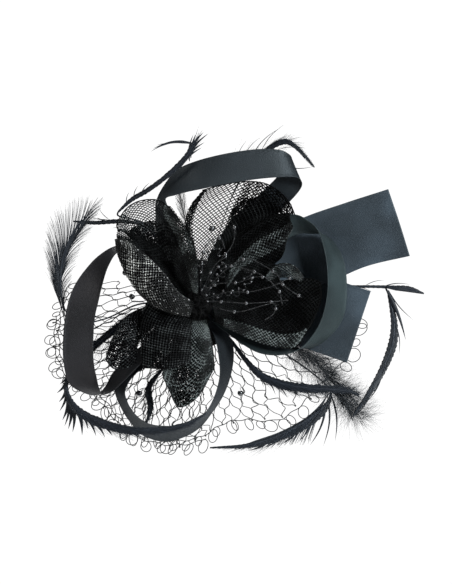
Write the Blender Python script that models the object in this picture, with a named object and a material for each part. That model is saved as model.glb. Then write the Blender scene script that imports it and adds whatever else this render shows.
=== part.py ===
"""Fascinator headpiece: satin loops, sinamay petals, veil and feathers on a felt base with a clip and a pin.

Frame: metres, +Z up. The felt base lies in the XZ plane, head side towards +Y, so the flower faces -Y.
The origin is the centre of the backing felt's head-side face. Points of the soft pieces are written as
(x, z, depth) in millimetres, where depth is how far a point stands in front of that face.
"""

import math

import bmesh
import bpy
from mathutils import Matrix, Vector

MM = 0.001

# Driving dimensions, in millimetres
BASE_RADIUS = 30.0
BASE_FRONT = 4.5
BASE_BACK = 1.5
FELT_RADIUS = 26.0
FELT_THICKNESS = 1.2
POST_RADIUS = 5.5
POST_FOOT = 4.8
POST_TOP = 30.0
SATIN_THICKNESS = 0.6
SINAMAY_THICKNESS = 0.8
NET_THICKNESS = 0.5
VANE_THICKNESS = 0.6
WIRE_RADIUS = 0.4
STAMEN_BEAD_RADIUS = 1.25
VEIL_BEAD_RADIUS = 2.0
PART_GAP = 0.3

# Hair clip and brooch pin, in millimetres
CLIP_Z = 6.5
CLIP_WIDTH = 9.0
CLIP_NOSE_X = -25.0
CLIP_TAIL_X = 25.0
CLIP_HINGE = (10.0, 4.5)
CLIP_PIN_RADIUS = 0.75
BROOCH_Z = -10.25
BROOCH_WIDTH = 5.5
BROOCH_HALF_LENGTH = 18.0
BROOCH_HINGE = (15.0, 3.2)
BROOCH_STEM_RADIUS = 0.45
CATCH_X = -14.0

COLOURS = {
    "satin_black": (0.018, 0.020, 0.022, 0.35, 0.0),
    "satin_green": (0.035, 0.052, 0.055, 0.35, 0.0),
    "satin_blue": (0.035, 0.048, 0.060, 0.35, 0.0),
    "sinamay": (0.012, 0.012, 0.014, 0.55, 0.0),
    "net": (0.015, 0.015, 0.016, 0.6, 0.0),
    "feather": (0.010, 0.012, 0.016, 0.5, 0.0),
    "bead": (0.006, 0.006, 0.008, 0.12, 0.0),
    "wire": (0.03, 0.03, 0.035, 0.4, 0.6),
    "felt": (0.010, 0.010, 0.011, 0.95, 0.0),
    "steel": (0.55, 0.56, 0.58, 0.3, 1.0),
}


def clear_scene():
    for item in list(bpy.data.objects):
        bpy.data.objects.remove(item)


def material(name, finish):
    red, green, blue, roughness, metallic = COLOURS[finish]
    made = bpy.data.materials.new(name)
    made.use_nodes = True
    shader = made.node_tree.nodes["Principled BSDF"]
    shader.inputs["Base Color"].default_value = (red, green, blue, 1.0)
    shader.inputs["Roughness"].default_value = roughness
    shader.inputs["Metallic"].default_value = metallic
    return made


def at(x, z, depth):
    """A point of a soft piece, in metres."""
    return Vector((x, -depth, z)) * MM


def add_object(name, mesh, finish):
    made = bpy.data.objects.new(name, mesh)
    bpy.context.scene.collection.objects.link(made)
    mesh.materials.append(material(name, finish))
    mesh.shade_smooth()
    mesh.set_sharp_from_angle(angle=math.radians(40))
    return made


def mesh_from(bm, name):
    bmesh.ops.recalc_face_normals(bm, faces=bm.faces)
    mesh = bpy.data.meshes.new(name)
    bm.to_mesh(mesh)
    bm.free()
    return mesh


def through(points, count):
    """count points along a smooth curve that passes through the given points."""
    points = [Vector(p) for p in points]
    if len(points) < 2:
        return points
    padded = [2 * points[0] - points[1], *points, 2 * points[-1] - points[-2]]
    spans = len(points) - 1
    curve = []
    for i in range(count):
        place = spans * i / (count - 1)
        k = min(int(place), spans - 1)
        t = place - k
        a, b, c, d = padded[k : k + 4]
        curve.append(
            0.5 * (2 * b + (c - a) * t + (2 * a - 5 * b + 4 * c - d) * t**2 + (3 * (b - c) + d - a) * t**3)
        )
    return curve


def sheet(name, rows, thickness, finish, along, across):
    """A thin closed sheet through rows of (x, z, depth) points; each row runs across it."""
    rows = [[at(*p) for p in row] for row in rows]
    lines = [through(row, across) for row in rows]
    columns = [through([line[j] for line in lines], along) for j in range(across)]
    grid = [[columns[j][i] for j in range(across)] for i in range(along)]
    bm = bmesh.new()
    front, back = [], []
    for i in range(along):
        front_row, back_row = [], []
        for j in range(across):
            run = grid[min(i + 1, along - 1)][j] - grid[max(i - 1, 0)][j]
            span = grid[i][min(j + 1, across - 1)] - grid[i][max(j - 1, 0)]
            half = run.cross(span).normalized() * thickness * MM / 2
            front_row.append(bm.verts.new(grid[i][j] + half))
            back_row.append(bm.verts.new(grid[i][j] - half))
        front.append(front_row)
        back.append(back_row)
    for i in range(along - 1):
        for j in range(across - 1):
            bm.faces.new((front[i][j], front[i + 1][j], front[i + 1][j + 1], front[i][j + 1]))
            bm.faces.new((back[i][j], back[i][j + 1], back[i + 1][j + 1], back[i + 1][j]))
    for i in range(along - 1):
        for j in (0, across - 1):
            bm.faces.new((front[i][j], back[i][j], back[i + 1][j], front[i + 1][j]))
    for j in range(across - 1):
        for i in (0, along - 1):
            bm.faces.new((front[i][j], front[i][j + 1], back[i][j + 1], back[i][j]))
    return add_object(name, mesh_from(bm, name), finish)


def vane(name, path, sides, finish="feather", count=22):
    """A feather's flat outline: a route of (x, z, depth) points with its (left, right) widths at each."""
    centre = through(path, count)
    widths = through([(left, right, 0) for left, right in sides], count)
    rows = []
    for i, point in enumerate(centre):
        run = centre[min(i + 1, count - 1)] - centre[max(i - 1, 0)]
        side = Vector((-run.y, run.x)).normalized()
        left, right = max(widths[i].x, 0.3), max(widths[i].y, 0.3)
        rows.append(
            [
                (point.x + side.x * left, point.y + side.y * left, point.z),
                (point.x - side.x * right, point.y - side.y * right, point.z),
            ]
        )
    return sheet(name, rows, VANE_THICKNESS, finish, count, 2)


def tube(name, centres, radii, sides, finish):
    """A closed tube with flat ends through centres, in metres, whose radius at each is given."""
    bm = bmesh.new()
    rings = []
    run = (centres[1] - centres[0]).normalized()
    side = run.orthogonal().normalized()
    for i, centre in enumerate(centres):
        run = (centres[min(i + 1, len(centres) - 1)] - centres[max(i - 1, 0)]).normalized()
        side = (side - run * side.dot(run)).normalized()
        other = run.cross(side)
        ring = []
        for k in range(sides):
            angle = 2 * math.pi * k / sides
            ring.append(bm.verts.new(centre + (side * math.cos(angle) + other * math.sin(angle)) * radii[i]))
        rings.append(ring)
    for a, b in zip(rings, rings[1:]):
        for k in range(sides):
            bm.faces.new((a[k], a[(k + 1) % sides], b[(k + 1) % sides], b[k]))
    bm.faces.new(rings[0])
    bm.faces.new(rings[-1])
    return add_object(name, mesh_from(bm, name), finish)


def beaded_wire(name, path, beads):
    """A wire through (x, z, depth) points with round beads on it at the given shares of its length."""
    fine = through(path, 200)
    lengths = [0.0]
    for a, b in zip(fine, fine[1:]):
        lengths.append(lengths[-1] + (b - a).length)
    total = lengths[-1]

    def point_at(distance):
        k = next((i for i, value in enumerate(lengths) if value >= distance), len(lengths) - 1)
        return at(*fine[k])

    stations = {0.0: WIRE_RADIUS, total: WIRE_RADIUS}
    for share in beads:
        middle = share * total
        for step in (-1.0, -0.6, 0.0, 0.6, 1.0):
            reach = math.sqrt(max(0.0, 1 - step * step)) * STAMEN_BEAD_RADIUS
            stations[middle + step * STAMEN_BEAD_RADIUS] = max(WIRE_RADIUS, reach)
    spacing = total / 9
    for k in range(1, 9):
        place = k * spacing
        if all(abs(place - other) > spacing / 4 for other in stations):
            stations[place] = WIRE_RADIUS
    places = sorted(p for p in stations if 0 <= p <= total)
    return tube(name, [point_at(p) for p in places], [stations[p] * MM for p in places], 6, "wire")


def ball(name, centre, radius, finish):
    bm = bmesh.new()
    place = Matrix.Translation(at(*centre))
    bmesh.ops.create_uvsphere(bm, u_segments=10, v_segments=6, radius=radius * MM, matrix=place)
    return add_object(name, mesh_from(bm, name), finish)


def disc(name, radius, depth_back, depth_front, finish, bevel=0.0):
    """A round plate whose axis is Y, between two depths in front of the origin."""
    bm = bmesh.new()
    depth = (depth_front - depth_back) * MM
    middle = Vector((0, -(depth_front + depth_back) / 2 * MM, 0))
    turn = Matrix.Translation(middle) @ Matrix.Rotation(math.pi / 2, 4, "X")
    bmesh.ops.create_cone(
        bm, segments=40, radius1=radius * MM, radius2=radius * MM, depth=depth, cap_ends=True, matrix=turn
    )
    if bevel:
        rims = [e for e in bm.edges if e.calc_face_angle() > 1.0]
        bmesh.ops.bevel(bm, geom=rims, offset=bevel * MM, segments=2, affect="EDGES")
    return add_object(name, mesh_from(bm, name), finish)


def block(name, x, y, z, finish):
    """A box from ranges of x, y and z in millimetres."""
    bm = bmesh.new()
    bmesh.ops.create_cube(bm, size=1.0)
    sizes = [(high - low) * MM for low, high in (x, y, z)]
    middle = [(high + low) / 2 * MM for low, high in (x, y, z)]
    bmesh.ops.scale(bm, vec=sizes, verts=bm.verts)
    bmesh.ops.translate(bm, vec=middle, verts=bm.verts)
    return add_object(name, mesh_from(bm, name), finish)


def outline_block(name, outline, z, finish):
    """An outline of (x, y) points extruded between two z values, all in millimetres."""
    bm = bmesh.new()
    low = [bm.verts.new(Vector((x, y, z[0])) * MM) for x, y in outline]
    high = [bm.verts.new(Vector((x, y, z[1])) * MM) for x, y in outline]
    bm.faces.new(low)
    bm.faces.new(high)
    for k in range(len(outline)):
        n = (k + 1) % len(outline)
        bm.faces.new((low[k], low[n], high[n], high[k]))
    return add_object(name, mesh_from(bm, name), finish)


def rod(name, centre, radius, axis, reach, finish, sides=16):
    """A cylinder along X or Z: centre holds the two other coordinates, and reach is its range on the axis."""
    bm = bmesh.new()
    middle = (reach[0] + reach[1]) / 2
    if axis == "Z":
        place = Matrix.Translation(Vector((centre[0], centre[1], middle)) * MM)
    else:
        place = Matrix.Translation(Vector((middle, centre[0], centre[1])) * MM)
        place = place @ Matrix.Rotation(math.pi / 2, 4, "Y")
    bmesh.ops.create_cone(
        bm,
        segments=sides,
        radius1=radius * MM,
        radius2=radius * MM,
        depth=(reach[1] - reach[0]) * MM,
        cap_ends=True,
        matrix=place,
    )
    return add_object(name, mesh_from(bm, name), finish)


def combine(target, tools, operation):
    """A Boolean of hidden tool shapes on a target."""
    for tool in tools:
        change = target.modifiers.new(operation.lower(), "BOOLEAN")
        change.operation = operation
        change.object = tool
        tool.hide_render = True
        tool.display_type = "WIRE"


def arc_outline(inner, outer, start, end, steps):
    """A C-shaped outline of (y, z) offsets; angles are in degrees from +Y towards +Z."""
    turns = [math.radians(start + (end - start) * k / steps) for k in range(steps + 1)]
    out = [(outer * math.cos(a), outer * math.sin(a)) for a in turns]
    back = [(inner * math.cos(a), inner * math.sin(a)) for a in reversed(turns)]
    return out + back


def arc_ring(name, x, centre, outline, finish):
    """An outline of (y, z) offsets about centre, extruded along X."""
    bm = bmesh.new()
    ends = []
    for side in x:
        ends.append([bm.verts.new(Vector((side, centre[0] + y, centre[1] + z)) * MM) for y, z in outline])
    bm.faces.new(ends[0])
    bm.faces.new(ends[1])
    for k in range(len(outline)):
        n = (k + 1) % len(outline)
        bm.faces.new((ends[0][k], ends[0][n], ends[1][n], ends[1][k]))
    return add_object(name, mesh_from(bm, name), finish)


def move_origin(item, x, y, z):
    """Puts the object's origin at a point, in millimetres, and leaves its shape in place."""
    place = Vector((x, y, z)) * MM
    item.data.transform(Matrix.Translation(-place))
    item.location = place


# ------------------------------------------------------------------ base and binding


def build_base():
    disc("base_disc", BASE_RADIUS, BASE_BACK, BASE_FRONT, "felt", bevel=0.6)
    disc("backing_felt", FELT_RADIUS, 0.0, FELT_THICKNESS, "felt")


def build_binding_post():
    steps = (POST_FOOT, POST_FOOT + 2, 12.0, 18.0, 24.0, POST_TOP - 2, POST_TOP)
    radii = (POST_RADIUS, POST_RADIUS, 4.6, 4.9, 4.4, 4.2, 3.0)
    centres = [at(0, 0, depth) for depth in steps]
    tube("binding_post", centres, [r * MM for r in radii], 14, "wire")


# ------------------------------------------------------------------ hair clip


def build_clip_arm():
    half = CLIP_WIDTH / 2
    width = (CLIP_Z - half, CLIP_Z + half)
    arm = block("clip_arm", (CLIP_NOSE_X, CLIP_TAIL_X), (PART_GAP, 1.3), width, "steel")
    x, y = CLIP_HINGE
    ears = []
    for side in (-1, 1):
        z = CLIP_Z + side * (half - 0.45)
        outline = [(x - 3.2, 1.0), (x + 3.2, 1.0), (x + 2.2, y + 1.4), (x + 0.8, y + 2.2)]
        outline += [(x - 0.8, y + 2.2), (x - 2.2, y + 1.4)]
        ears.append(outline_block(f"ear_shape_{side}", outline, (z - 0.4, z + 0.4), "steel"))
    combine(arm, ears, "UNION")
    through_all = (CLIP_Z - CLIP_WIDTH, CLIP_Z + CLIP_WIDTH)
    bore = rod("arm_bore_shape", CLIP_HINGE, CLIP_PIN_RADIUS + PART_GAP, "Z", through_all, "steel")
    combine(arm, [bore], "DIFFERENCE")


def build_clip_jaw():
    """The jaw: a flat nose with teeth, a bend at the hinge and a lever that rises to the tail."""
    x, y = CLIP_HINGE
    half = CLIP_WIDTH / 2
    nose = [(CLIP_NOSE_X, 2.3), (CLIP_NOSE_X + 1.2, 1.7)]
    for k in range(9):
        tooth = CLIP_NOSE_X + 2.4 + 2.0 * k
        nose += [(tooth, 2.3), (tooth + 1.0, 1.7)]
    nose += [(0.0, 2.0), (5.0, 2.2), (x - 2.2, y - 0.6), (x, y + 0.9), (CLIP_TAIL_X, 10.4)]
    nose += [(CLIP_TAIL_X, 11.2), (x - 0.6, y + 1.9), (x - 3.2, y + 0.4), (4.6, 3.2), (CLIP_NOSE_X, 3.2)]
    jaw = outline_block("clip_jaw", nose, (CLIP_Z - half + 1.4, CLIP_Z + half - 1.4), "steel")
    knuckles = []
    for side in (-1, 1):
        z = CLIP_Z + side * (half - 1.95)
        knuckles.append(rod(f"knuckle_shape_{side}", CLIP_HINGE, 1.9, "Z", (z - 0.55, z + 0.55), "steel"))
    combine(jaw, knuckles, "UNION")
    pocket = rod("spring_pocket_shape", CLIP_HINGE, 2.6, "Z", (CLIP_Z - 1.9, CLIP_Z + 1.9), "steel")
    through_all = (CLIP_Z - CLIP_WIDTH, CLIP_Z + CLIP_WIDTH)
    bore = rod("jaw_bore_shape", CLIP_HINGE, CLIP_PIN_RADIUS + PART_GAP, "Z", through_all, "steel")
    combine(jaw, [pocket, bore], "DIFFERENCE")
    move_origin(jaw, x, y, CLIP_Z)


def build_clip_pin():
    x, y = CLIP_HINGE
    low = CLIP_Z - CLIP_WIDTH / 2 - 0.6
    high = CLIP_Z + CLIP_WIDTH / 2 + 0.6
    stations = (low, low + 0.35, low + 0.36, high - 0.36, high - 0.35, high)
    wide, slim = 1.3, CLIP_PIN_RADIUS
    radii = (wide, wide, slim, slim, wide, wide)
    centres = [Vector((x, y, z)) * MM for z in stations]
    tube("clip_hinge_pin", centres, [r * MM for r in radii], 16, "steel")


def build_clip_spring():
    """A torsion spring: a coil round the hinge pin with one leg on the fixed arm and one under the lever."""
    x, y = CLIP_HINGE
    coil_radius, wire, turns, per_turn = 1.55, 0.28, 3.5, 14
    points = [Vector((x - 3.6, 1.3 + PART_GAP + wire, CLIP_Z - 1.2)) * MM]
    points.append(Vector((x - 1.6, 2.3, CLIP_Z - 1.2)) * MM)
    steps = int(turns * per_turn)
    for k in range(steps + 1):
        angle = -math.pi / 2 - 2 * math.pi * k / per_turn
        height = CLIP_Z - 1.2 + 2.4 * k / steps
        turn = Vector((math.cos(angle), math.sin(angle), 0)) * coil_radius
        points.append((Vector((x, y, height)) + turn) * MM)
    points.append(Vector((x + 2.6, y + 1.15, CLIP_Z + 1.2)) * MM)
    tube("clip_spring", points, [wire * MM] * len(points), 6, "steel")


# ------------------------------------------------------------------ brooch pin


def build_brooch_bar():
    half = BROOCH_WIDTH / 2
    ends = (-BROOCH_HALF_LENGTH, BROOCH_HALF_LENGTH)
    bar = block("brooch_bar", ends, (PART_GAP, 1.1), (BROOCH_Z - half, BROOCH_Z + half), "steel")
    x, y = BROOCH_HINGE
    pieces = []
    for side in (-1, 1):
        z = BROOCH_Z + side * 1.7
        outline = [(x - 2.0, 0.8), (x + 2.0, 0.8), (x + 1.4, y + 1.1), (x, y + 1.6), (x - 1.4, y + 1.1)]
        pieces.append(outline_block(f"brooch_ear_shape_{side}", outline, (z - 0.35, z + 0.35), "steel"))
    hook = arc_outline(1.6, 2.35, 42, 318, 20)
    pieces.append(arc_ring("hook_shape", (CATCH_X - 1.5, CATCH_X + 1.5), (y, BROOCH_Z), hook, "steel"))
    combine(bar, pieces, "UNION")
    bore = rod("brooch_bore_shape", BROOCH_HINGE, 0.8, "Z", (BROOCH_Z - 5, BROOCH_Z + 5), "steel")
    combine(bar, [bore], "DIFFERENCE")


def build_brooch_pin():
    """The stem: an eye on the rivet and a straight wire that tapers to a point."""
    x, y = BROOCH_HINGE
    eye = rod("brooch_pin", BROOCH_HINGE, 1.15, "Z", (BROOCH_Z - 0.9, BROOCH_Z + 0.9), "steel")
    places = (x - 0.9, 6.0, -4.0, -12.0, -15.5, -17.6)
    sizes = (0.45, 0.45, 0.45, 0.42, 0.3, 0.08)
    centres = [Vector((place, y, BROOCH_Z)) * MM for place in places]
    stem = tube("stem_shape", centres, [r * MM for r in sizes], 8, "steel")
    combine(eye, [stem], "UNION")
    bore = rod("eye_bore_shape", BROOCH_HINGE, 0.8, "Z", (BROOCH_Z - 5, BROOCH_Z + 5), "steel", sides=12)
    combine(eye, [bore], "DIFFERENCE")
    move_origin(eye, x, y, BROOCH_Z)


def build_brooch_rivet():
    x, y = BROOCH_HINGE
    stations = (-2.75, -2.4, -2.39, 2.39, 2.4, 2.75)
    radii = (1.0, 1.0, 0.48, 0.48, 1.0, 1.0)
    centres = [Vector((x, y, BROOCH_Z + z)) * MM for z in stations]
    tube("brooch_rivet", centres, [r * MM for r in radii], 12, "steel")


def build_brooch_catch():
    """The rolling sleeve inside the hook: its gap faces outwards at rest, and a tab on its end turns it."""
    y = BROOCH_HINGE[1]
    sleeve = arc_outline(0.85, 1.28, 52, 308, 18)
    ends = (CATCH_X - 2.9, CATCH_X + 1.5)
    catch = arc_ring("brooch_catch", ends, (y, BROOCH_Z), sleeve, "steel")
    tab_outline = arc_outline(1.0, 3.0, 282, 306, 3)
    tab = arc_ring("tab_shape", (CATCH_X - 2.9, CATCH_X - 1.85), (y, BROOCH_Z), tab_outline, "steel")
    combine(catch, [tab], "UNION")
    move_origin(catch, CATCH_X, y, BROOCH_Z)


# ------------------------------------------------------------------ ribbons


def build_loop_top():
    rows = [
        [(-7.8, 9.6, 19), (-0.5, 12.4, 20)],
        [(-20, 28, 17), (-6, 32, 21)],
        [(-28, 48, 15), (-13, 50, 26)],
        [(-28.5, 60, 15), (-18, 61, 30)],
        [(-28, 69, 16), (-21.5, 70, 34.5)],
        [(-23, 79, 22), (-15, 72.5, 36.5)],
        [(-14, 89.5, 28), (-7, 74.5, 38)],
        [(0, 95.5, 35), (3, 76.5, 39)],
        [(20, 100.3, 38), (20, 80, 39.5)],
        [(40, 103, 38.5), (40, 83, 39.5)],
        [(54, 102.6, 37), (57, 84.4, 38.5)],
        [(60.5, 100, 33), (66, 84.2, 34.5)],
        [(62.5, 97, 28), (69.5, 80.5, 30)],
        [(60, 94, 24), (68, 76, 26)],
        [(52, 84, 21), (62, 69, 23)],
        [(40, 72.5, 19.5), (51, 58.5, 20)],
        [(24, 58, 18), (36, 44, 18.5)],
        [(8, 34, 17), (22, 24, 17)],
        [(3, 12.5, 16.5), (10.5, 8.5, 16.5)],
    ]
    sheet("loop_top", rows, SATIN_THICKNESS, "satin_black", 44, 2)


def build_loop_left():
    rows = [
        [(-6.5, 11.5, 14.5), (-11.5, 5.5, 14.5)],
        [(-20, 25, 15.5), (-27, 14, 15.5)],
        [(-36, 37, 13.5), (-41, 26, 20)],
        [(-47, 41, 10.5), (-48, 34, 25.5)],
        [(-54, 39.5, 10), (-54.5, 34, 27)],
        [(-62, 36, 12), (-60, 25, 28)],
        [(-72, 27.5, 15), (-63.5, 14, 27)],
        [(-83, 12, 18.5), (-66.5, 1.5, 25)],
        [(-88.5, -6, 21), (-69, -10, 24)],
        [(-90.5, -28, 22), (-70, -27, 23.5)],
        [(-89.5, -43, 20.5), (-69.5, -40, 24.5)],
        [(-86, -54, 17), (-67.5, -49.5, 27)],
        [(-76, -60, 13), (-65.8, -56.5, 30)],
        [(-68, -61, 11.5), (-63, -60.3, 31)],
        [(-62, -55, 13), (-56.5, -58, 31)],
        [(-57, -46, 14.5), (-48, -50, 30)],
        [(-45, -34, 14.5), (-36, -38, 26)],
        [(-28, -20, 14), (-21, -25, 20)],
        [(-13, -7.5, 13.5), (-9, -13, 14.5)],
    ]
    sheet("loop_left", rows, SATIN_THICKNESS, "satin_black", 44, 2)


def build_loop_right():
    rows = [
        [(5, 12.5, 19.5), (11, 7.5, 19)],
        [(18, 32, 22.5), (30, 20, 21)],
        [(36, 48, 27), (46, 33, 22)],
        [(52, 57.5, 32), (58, 42.5, 22.5)],
        [(65, 59.5, 36), (68, 47, 22)],
        [(74, 55, 38), (77, 47, 20.5)],
        [(80, 48.8, 38.5), (84, 46.5, 20.5)],
        [(83.5, 38.5, 38), (92, 40, 20.5)],
        [(86, 25, 37), (98, 27.5, 22)],
        [(86.3, 9, 36.5), (99.8, 9.5, 22)],
        [(84, -5, 36.5), (98, -6.5, 22.5)],
        [(79.5, -16, 37), (91.5, -18.5, 21.5)],
        [(72.5, -25.5, 38), (80, -28, 20)],
        [(65.5, -31, 38.5), (68, -30, 19)],
        [(55, -34, 37.5), (57, -27, 19.3)],
        [(42, -33, 34), (46, -24, 18)],
        [(30, -27, 28), (34, -17, 17.5)],
        [(9.5, -12, 17), (14, -7, 16.5)],
    ]
    sheet("loop_right", rows, SATIN_THICKNESS, "satin_green", 42, 2)


def build_loop_bottom():
    rows = [
        [(10, -9.5, 13), (4.5, -12.5, 13)],
        [(21, -22, 11.5), (11, -22, 22)],
        [(24, -33, 10.3), (14, -36, 26.5)],
        [(22, -48, 10.3), (14.5, -49, 28)],
        [(17, -61.5, 10.3), (10.8, -62.5, 28.5)],
        [(10, -72.5, 10.3), (5, -72.5, 28.8)],
        [(1, -83.5, 10.3), (-2, -76.5, 28.5)],
        [(-11, -90.3, 10.3), (-11, -80.5, 27.5)],
        [(-24, -92.6, 10.3), (-23, -81.5, 26.8)],
        [(-37, -88.5, 10.3), (-34, -79.5, 27)],
        [(-47, -78, 10.3), (-42.5, -73, 28)],
        [(-53.5, -66.5, 10.3), (-47.5, -64.5, 28.5)],
        [(-56, -57, 10.3), (-48.5, -57, 27)],
        [(-52, -46, 10.3), (-43, -48, 19)],
        [(-42, -33, 10.5), (-31, -38, 13)],
        [(-25, -17, 11), (-18, -23, 11.8)],
        [(-12, -5.5, 11.3), (-8, -10.5, 11.3)],
    ]
    sheet("loop_bottom", rows, SATIN_THICKNESS, "satin_black", 42, 2)


def build_tails():
    upper = [
        [(7, 9, 13.4), (9.5, 4.5, 13.4), (10.5, 0, 13.4)],
        [(30, 40, 14), (36, 19, 13.8), (40, 0, 13.8)],
        [(70, 57.7, 15.5), (77, 34.5, 15), (84, 13, 15)],
        [(98, 67.5, 17), (106, 46, 18), (113, 25, 17)],
        [(127.5, 77, 20), (135, 54.5, 21), (142, 32, 20)],
    ]
    lower = [
        [(9, 4, 10.4), (10, 0, 10.4), (9, -4, 10.4)],
        [(34, 27, 11), (35, 8, 10.8), (30, -12, 10.8)],
        [(58, 25.5, 12), (54, 3, 11.5), (47, -20, 11.5)],
        [(84, 19, 13.3), (78, -5, 13), (70, -29, 13)],
        [(116, 8.5, 15.5), (108, -15.5, 15), (100, -39.5, 15.5)],
    ]
    sheet("tail_upper", upper, SATIN_THICKNESS, "satin_blue", 10, 5)
    sheet("tail_lower", lower, SATIN_THICKNESS, "satin_blue", 10, 5)


# ------------------------------------------------------------------ petals


def petal(name, rows, along=10, across=7):
    sheet(name, rows, SINAMAY_THICKNESS, "sinamay", along, across)


def build_left_petals():
    roll = [
        [(-5, -5, 27), (-6, -8.5, 31), (-4, -4, 35.5), (-3, 1, 33)],
        [(-20, -1, 27), (-21, -5, 33), (-17, 4, 40), (-13, 8, 37)],
        [(-33, 7, 28), (-36, 4, 34), (-29, 14, 42.5), (-22, 20, 39)],
        [(-43, 20, 30), (-46, 17, 35), (-37, 25, 43.5), (-31, 29.5, 40)],
        [(-49, 34, 30), (-53, 32, 35), (-45, 36, 42), (-40, 37, 39)],
        [(-52, 43, 31), (-55, 43, 35.5), (-52, 43.5, 39.5), (-48, 42.5, 38)],
    ]
    upper = [
        [(-53, 48.5, 37), (-49, 48, 33), (-45, 44, 28.5), (-41, 39.5, 26)],
        [(-53.5, 54, 39), (-48, 55, 33), (-41, 47, 28), (-36.5, 36, 25)],
        [(-47, 64, 40), (-42, 60, 34), (-36, 48, 28), (-31.5, 32, 24)],
        [(-37, 69, 41), (-34, 63, 34), (-30, 49, 28), (-27, 28, 23.5)],
        [(-24, 68.3, 43), (-24, 62, 36.5), (-23, 46, 29), (-23, 23, 23.5)],
        [(-13, 57, 46), (-16, 52, 39), (-18, 38, 29.5), (-19.5, 19, 23.5)],
        [(-4, 42, 47), (-10, 38, 40), (-14, 27, 30), (-15.5, 14, 24)],
        [(0, 24, 45), (-5, 22, 39), (-10, 15, 30), (-12, 10, 24.5)],
        [(0.5, 7, 38), (-2, 8, 34), (-6, 7, 29), (-8, 5.5, 25.5)],
    ]
    petal("petal_left_roll", roll)
    petal("petal_upper_left", upper, along=14)


def build_top_petals():
    dome = [
        [(0, 15, 25.5), (-5.5, 36, 31), (-8.5, 52, 35), (-4.5, 65, 36.5), (3, 76, 34)],
        [(3, 15, 25), (4, 38, 27), (5, 55, 29.5), (8, 69, 31.5), (14, 79, 32)],
        [(6, 15, 25), (14, 40, 25.5), (20, 57, 26.5), (26, 71, 28.5), (31, 82, 30.5)],
        [(9, 14.5, 25.3), (23, 41, 25.5), (35, 56.5, 26), (43, 69, 27), (47, 80, 29.5)],
        [(10.5, 13.5, 26), (26, 43, 27), (43, 57, 28), (55, 64, 29), (60, 70, 31)],
        [(12, 13, 26.5), (28, 43.5, 28), (46, 57.5, 29), (58, 62, 29.5), (65.5, 61.5, 30)],
    ]
    right = [
        [(14, 18, 29), (15, 15.5, 29.5), (17, 13, 30.5), (18, 11.5, 31.5), (18, 10, 30.5), (18.5, 8, 29.5)],
        [(22, 38, 31), (26, 34, 31), (28, 30, 33.5), (29, 28, 35), (29.5, 25, 33), (31, 18, 30)],
        [(36, 50, 34), (39, 46, 32.5), (41, 41, 37.5), (43, 38, 40), (43.5, 33, 37), (45.5, 24, 31.5)],
        [(50, 58.5, 37), (51, 53, 36.5), (53, 47.5, 40.5), (55, 45, 43), (55, 40.5, 39.5), (55.5, 31, 33.5)],
        [(61, 60.3, 40), (61, 57, 40), (62, 53.5, 42.5), (63, 51.5, 44), (61.5, 48, 41.5), (59, 42, 37)],
    ]
    petal("petal_top", dome, along=11, across=8)
    petal("petal_right_upper", right, across=8)


def build_right_petals():
    lower = [
        [(9, 0, 26), (10, -4, 27), (11, -7, 29.5), (11.5, -9.5, 30), (11, -11.5, 28.5)],
        [(26, 8, 25), (25, -1, 25.5), (24, -8, 30), (24.5, -12.5, 32), (24, -18, 30)],
        [(44, 14, 25.5), (42, 2, 26), (39, -11, 31), (38.5, -17.5, 34.5), (38, -24.5, 32.5)],
        [(61, 16, 27), (59, 2, 27), (55, -14, 31), (53, -22, 36.5), (52, -28.5, 35.5)],
        [(75, 17, 29.5), (74, 4, 29.5), (70, -12, 32), (65, -22, 37), (62, -29.5, 37.5)],
        [(82, 14, 32), (82, 3, 32.5), (77, -10, 34), (72.5, -18, 37), (68, -26, 38.5)],
    ]
    inner = [
        [(45, 15, 30), (45.5, 18, 36), (46, 20, 40)],
        [(50, 17, 30), (50.5, 21.5, 36), (51, 25, 40.5)],
        [(57, 18, 30), (57.5, 23, 36), (57.5, 27, 41)],
        [(64, 17, 31), (64, 21.5, 36), (64.5, 25, 40.5)],
        [(69, 15, 32), (69.5, 17, 36), (70, 18.5, 39.5)],
    ]
    petal("petal_right_lower", lower, across=8)
    petal("petal_inner", inner, along=8, across=4)


def build_lower_petals():
    bottom = [
        [(-34, 2, 24.5), (-38, -10, 27), (-38.5, -25, 29), (-37, -42, 30)],
        [(-26, -2, 25), (-31, -12, 30), (-31, -26, 33), (-29.5, -43, 33)],
        [(-17, -5, 25), (-21, -14, 31), (-21.5, -27, 34.5), (-20.5, -43, 35)],
        [(-9, -7.5, 24.5), (-12, -15, 30), (-13, -27, 33), (-12.5, -41, 34)],
        [(-4, -9, 23.5), (-4.5, -16, 27), (-5, -27, 30), (-5, -39, 31)],
    ]
    point = [
        [(-7, -10, 20.5), (-14, -24, 24), (-20, -37, 25.5), (-24, -46.5, 26)],
        [(-3, -11, 20.5), (-9, -26, 25.5), (-15, -42, 28), (-19, -58, 28.5)],
        [(0, -11.5, 20.5), (-2, -27, 26), (-7, -45, 29), (-12.5, -69, 29)],
        [(4, -11, 20.5), (4, -26, 25.5), (3, -42, 27.5), (0, -62, 28)],
        [(6, -10, 20.5), (8, -20, 23.5), (10, -31, 25), (11, -43, 25.5)],
    ]
    left = [
        [(-25, -8, 21.5), (-35, -18, 22.5), (-40, -28, 25), (-41, -40, 28.5)],
        [(-27, -5, 21.5), (-41, -14, 25), (-47, -27, 30), (-48, -43, 33.5)],
        [(-29, -2.5, 21.5), (-46, -11, 24.5), (-53, -25, 30), (-56, -43, 34.5)],
        [(-31, 0, 21.5), (-48, -8.5, 22.5), (-57, -23, 27), (-61.5, -37, 33)],
    ]
    petal("petal_bottom", bottom)
    petal("petal_bottom_point", point)
    petal("petal_lower_left", left)


# ------------------------------------------------------------------ veil

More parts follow.
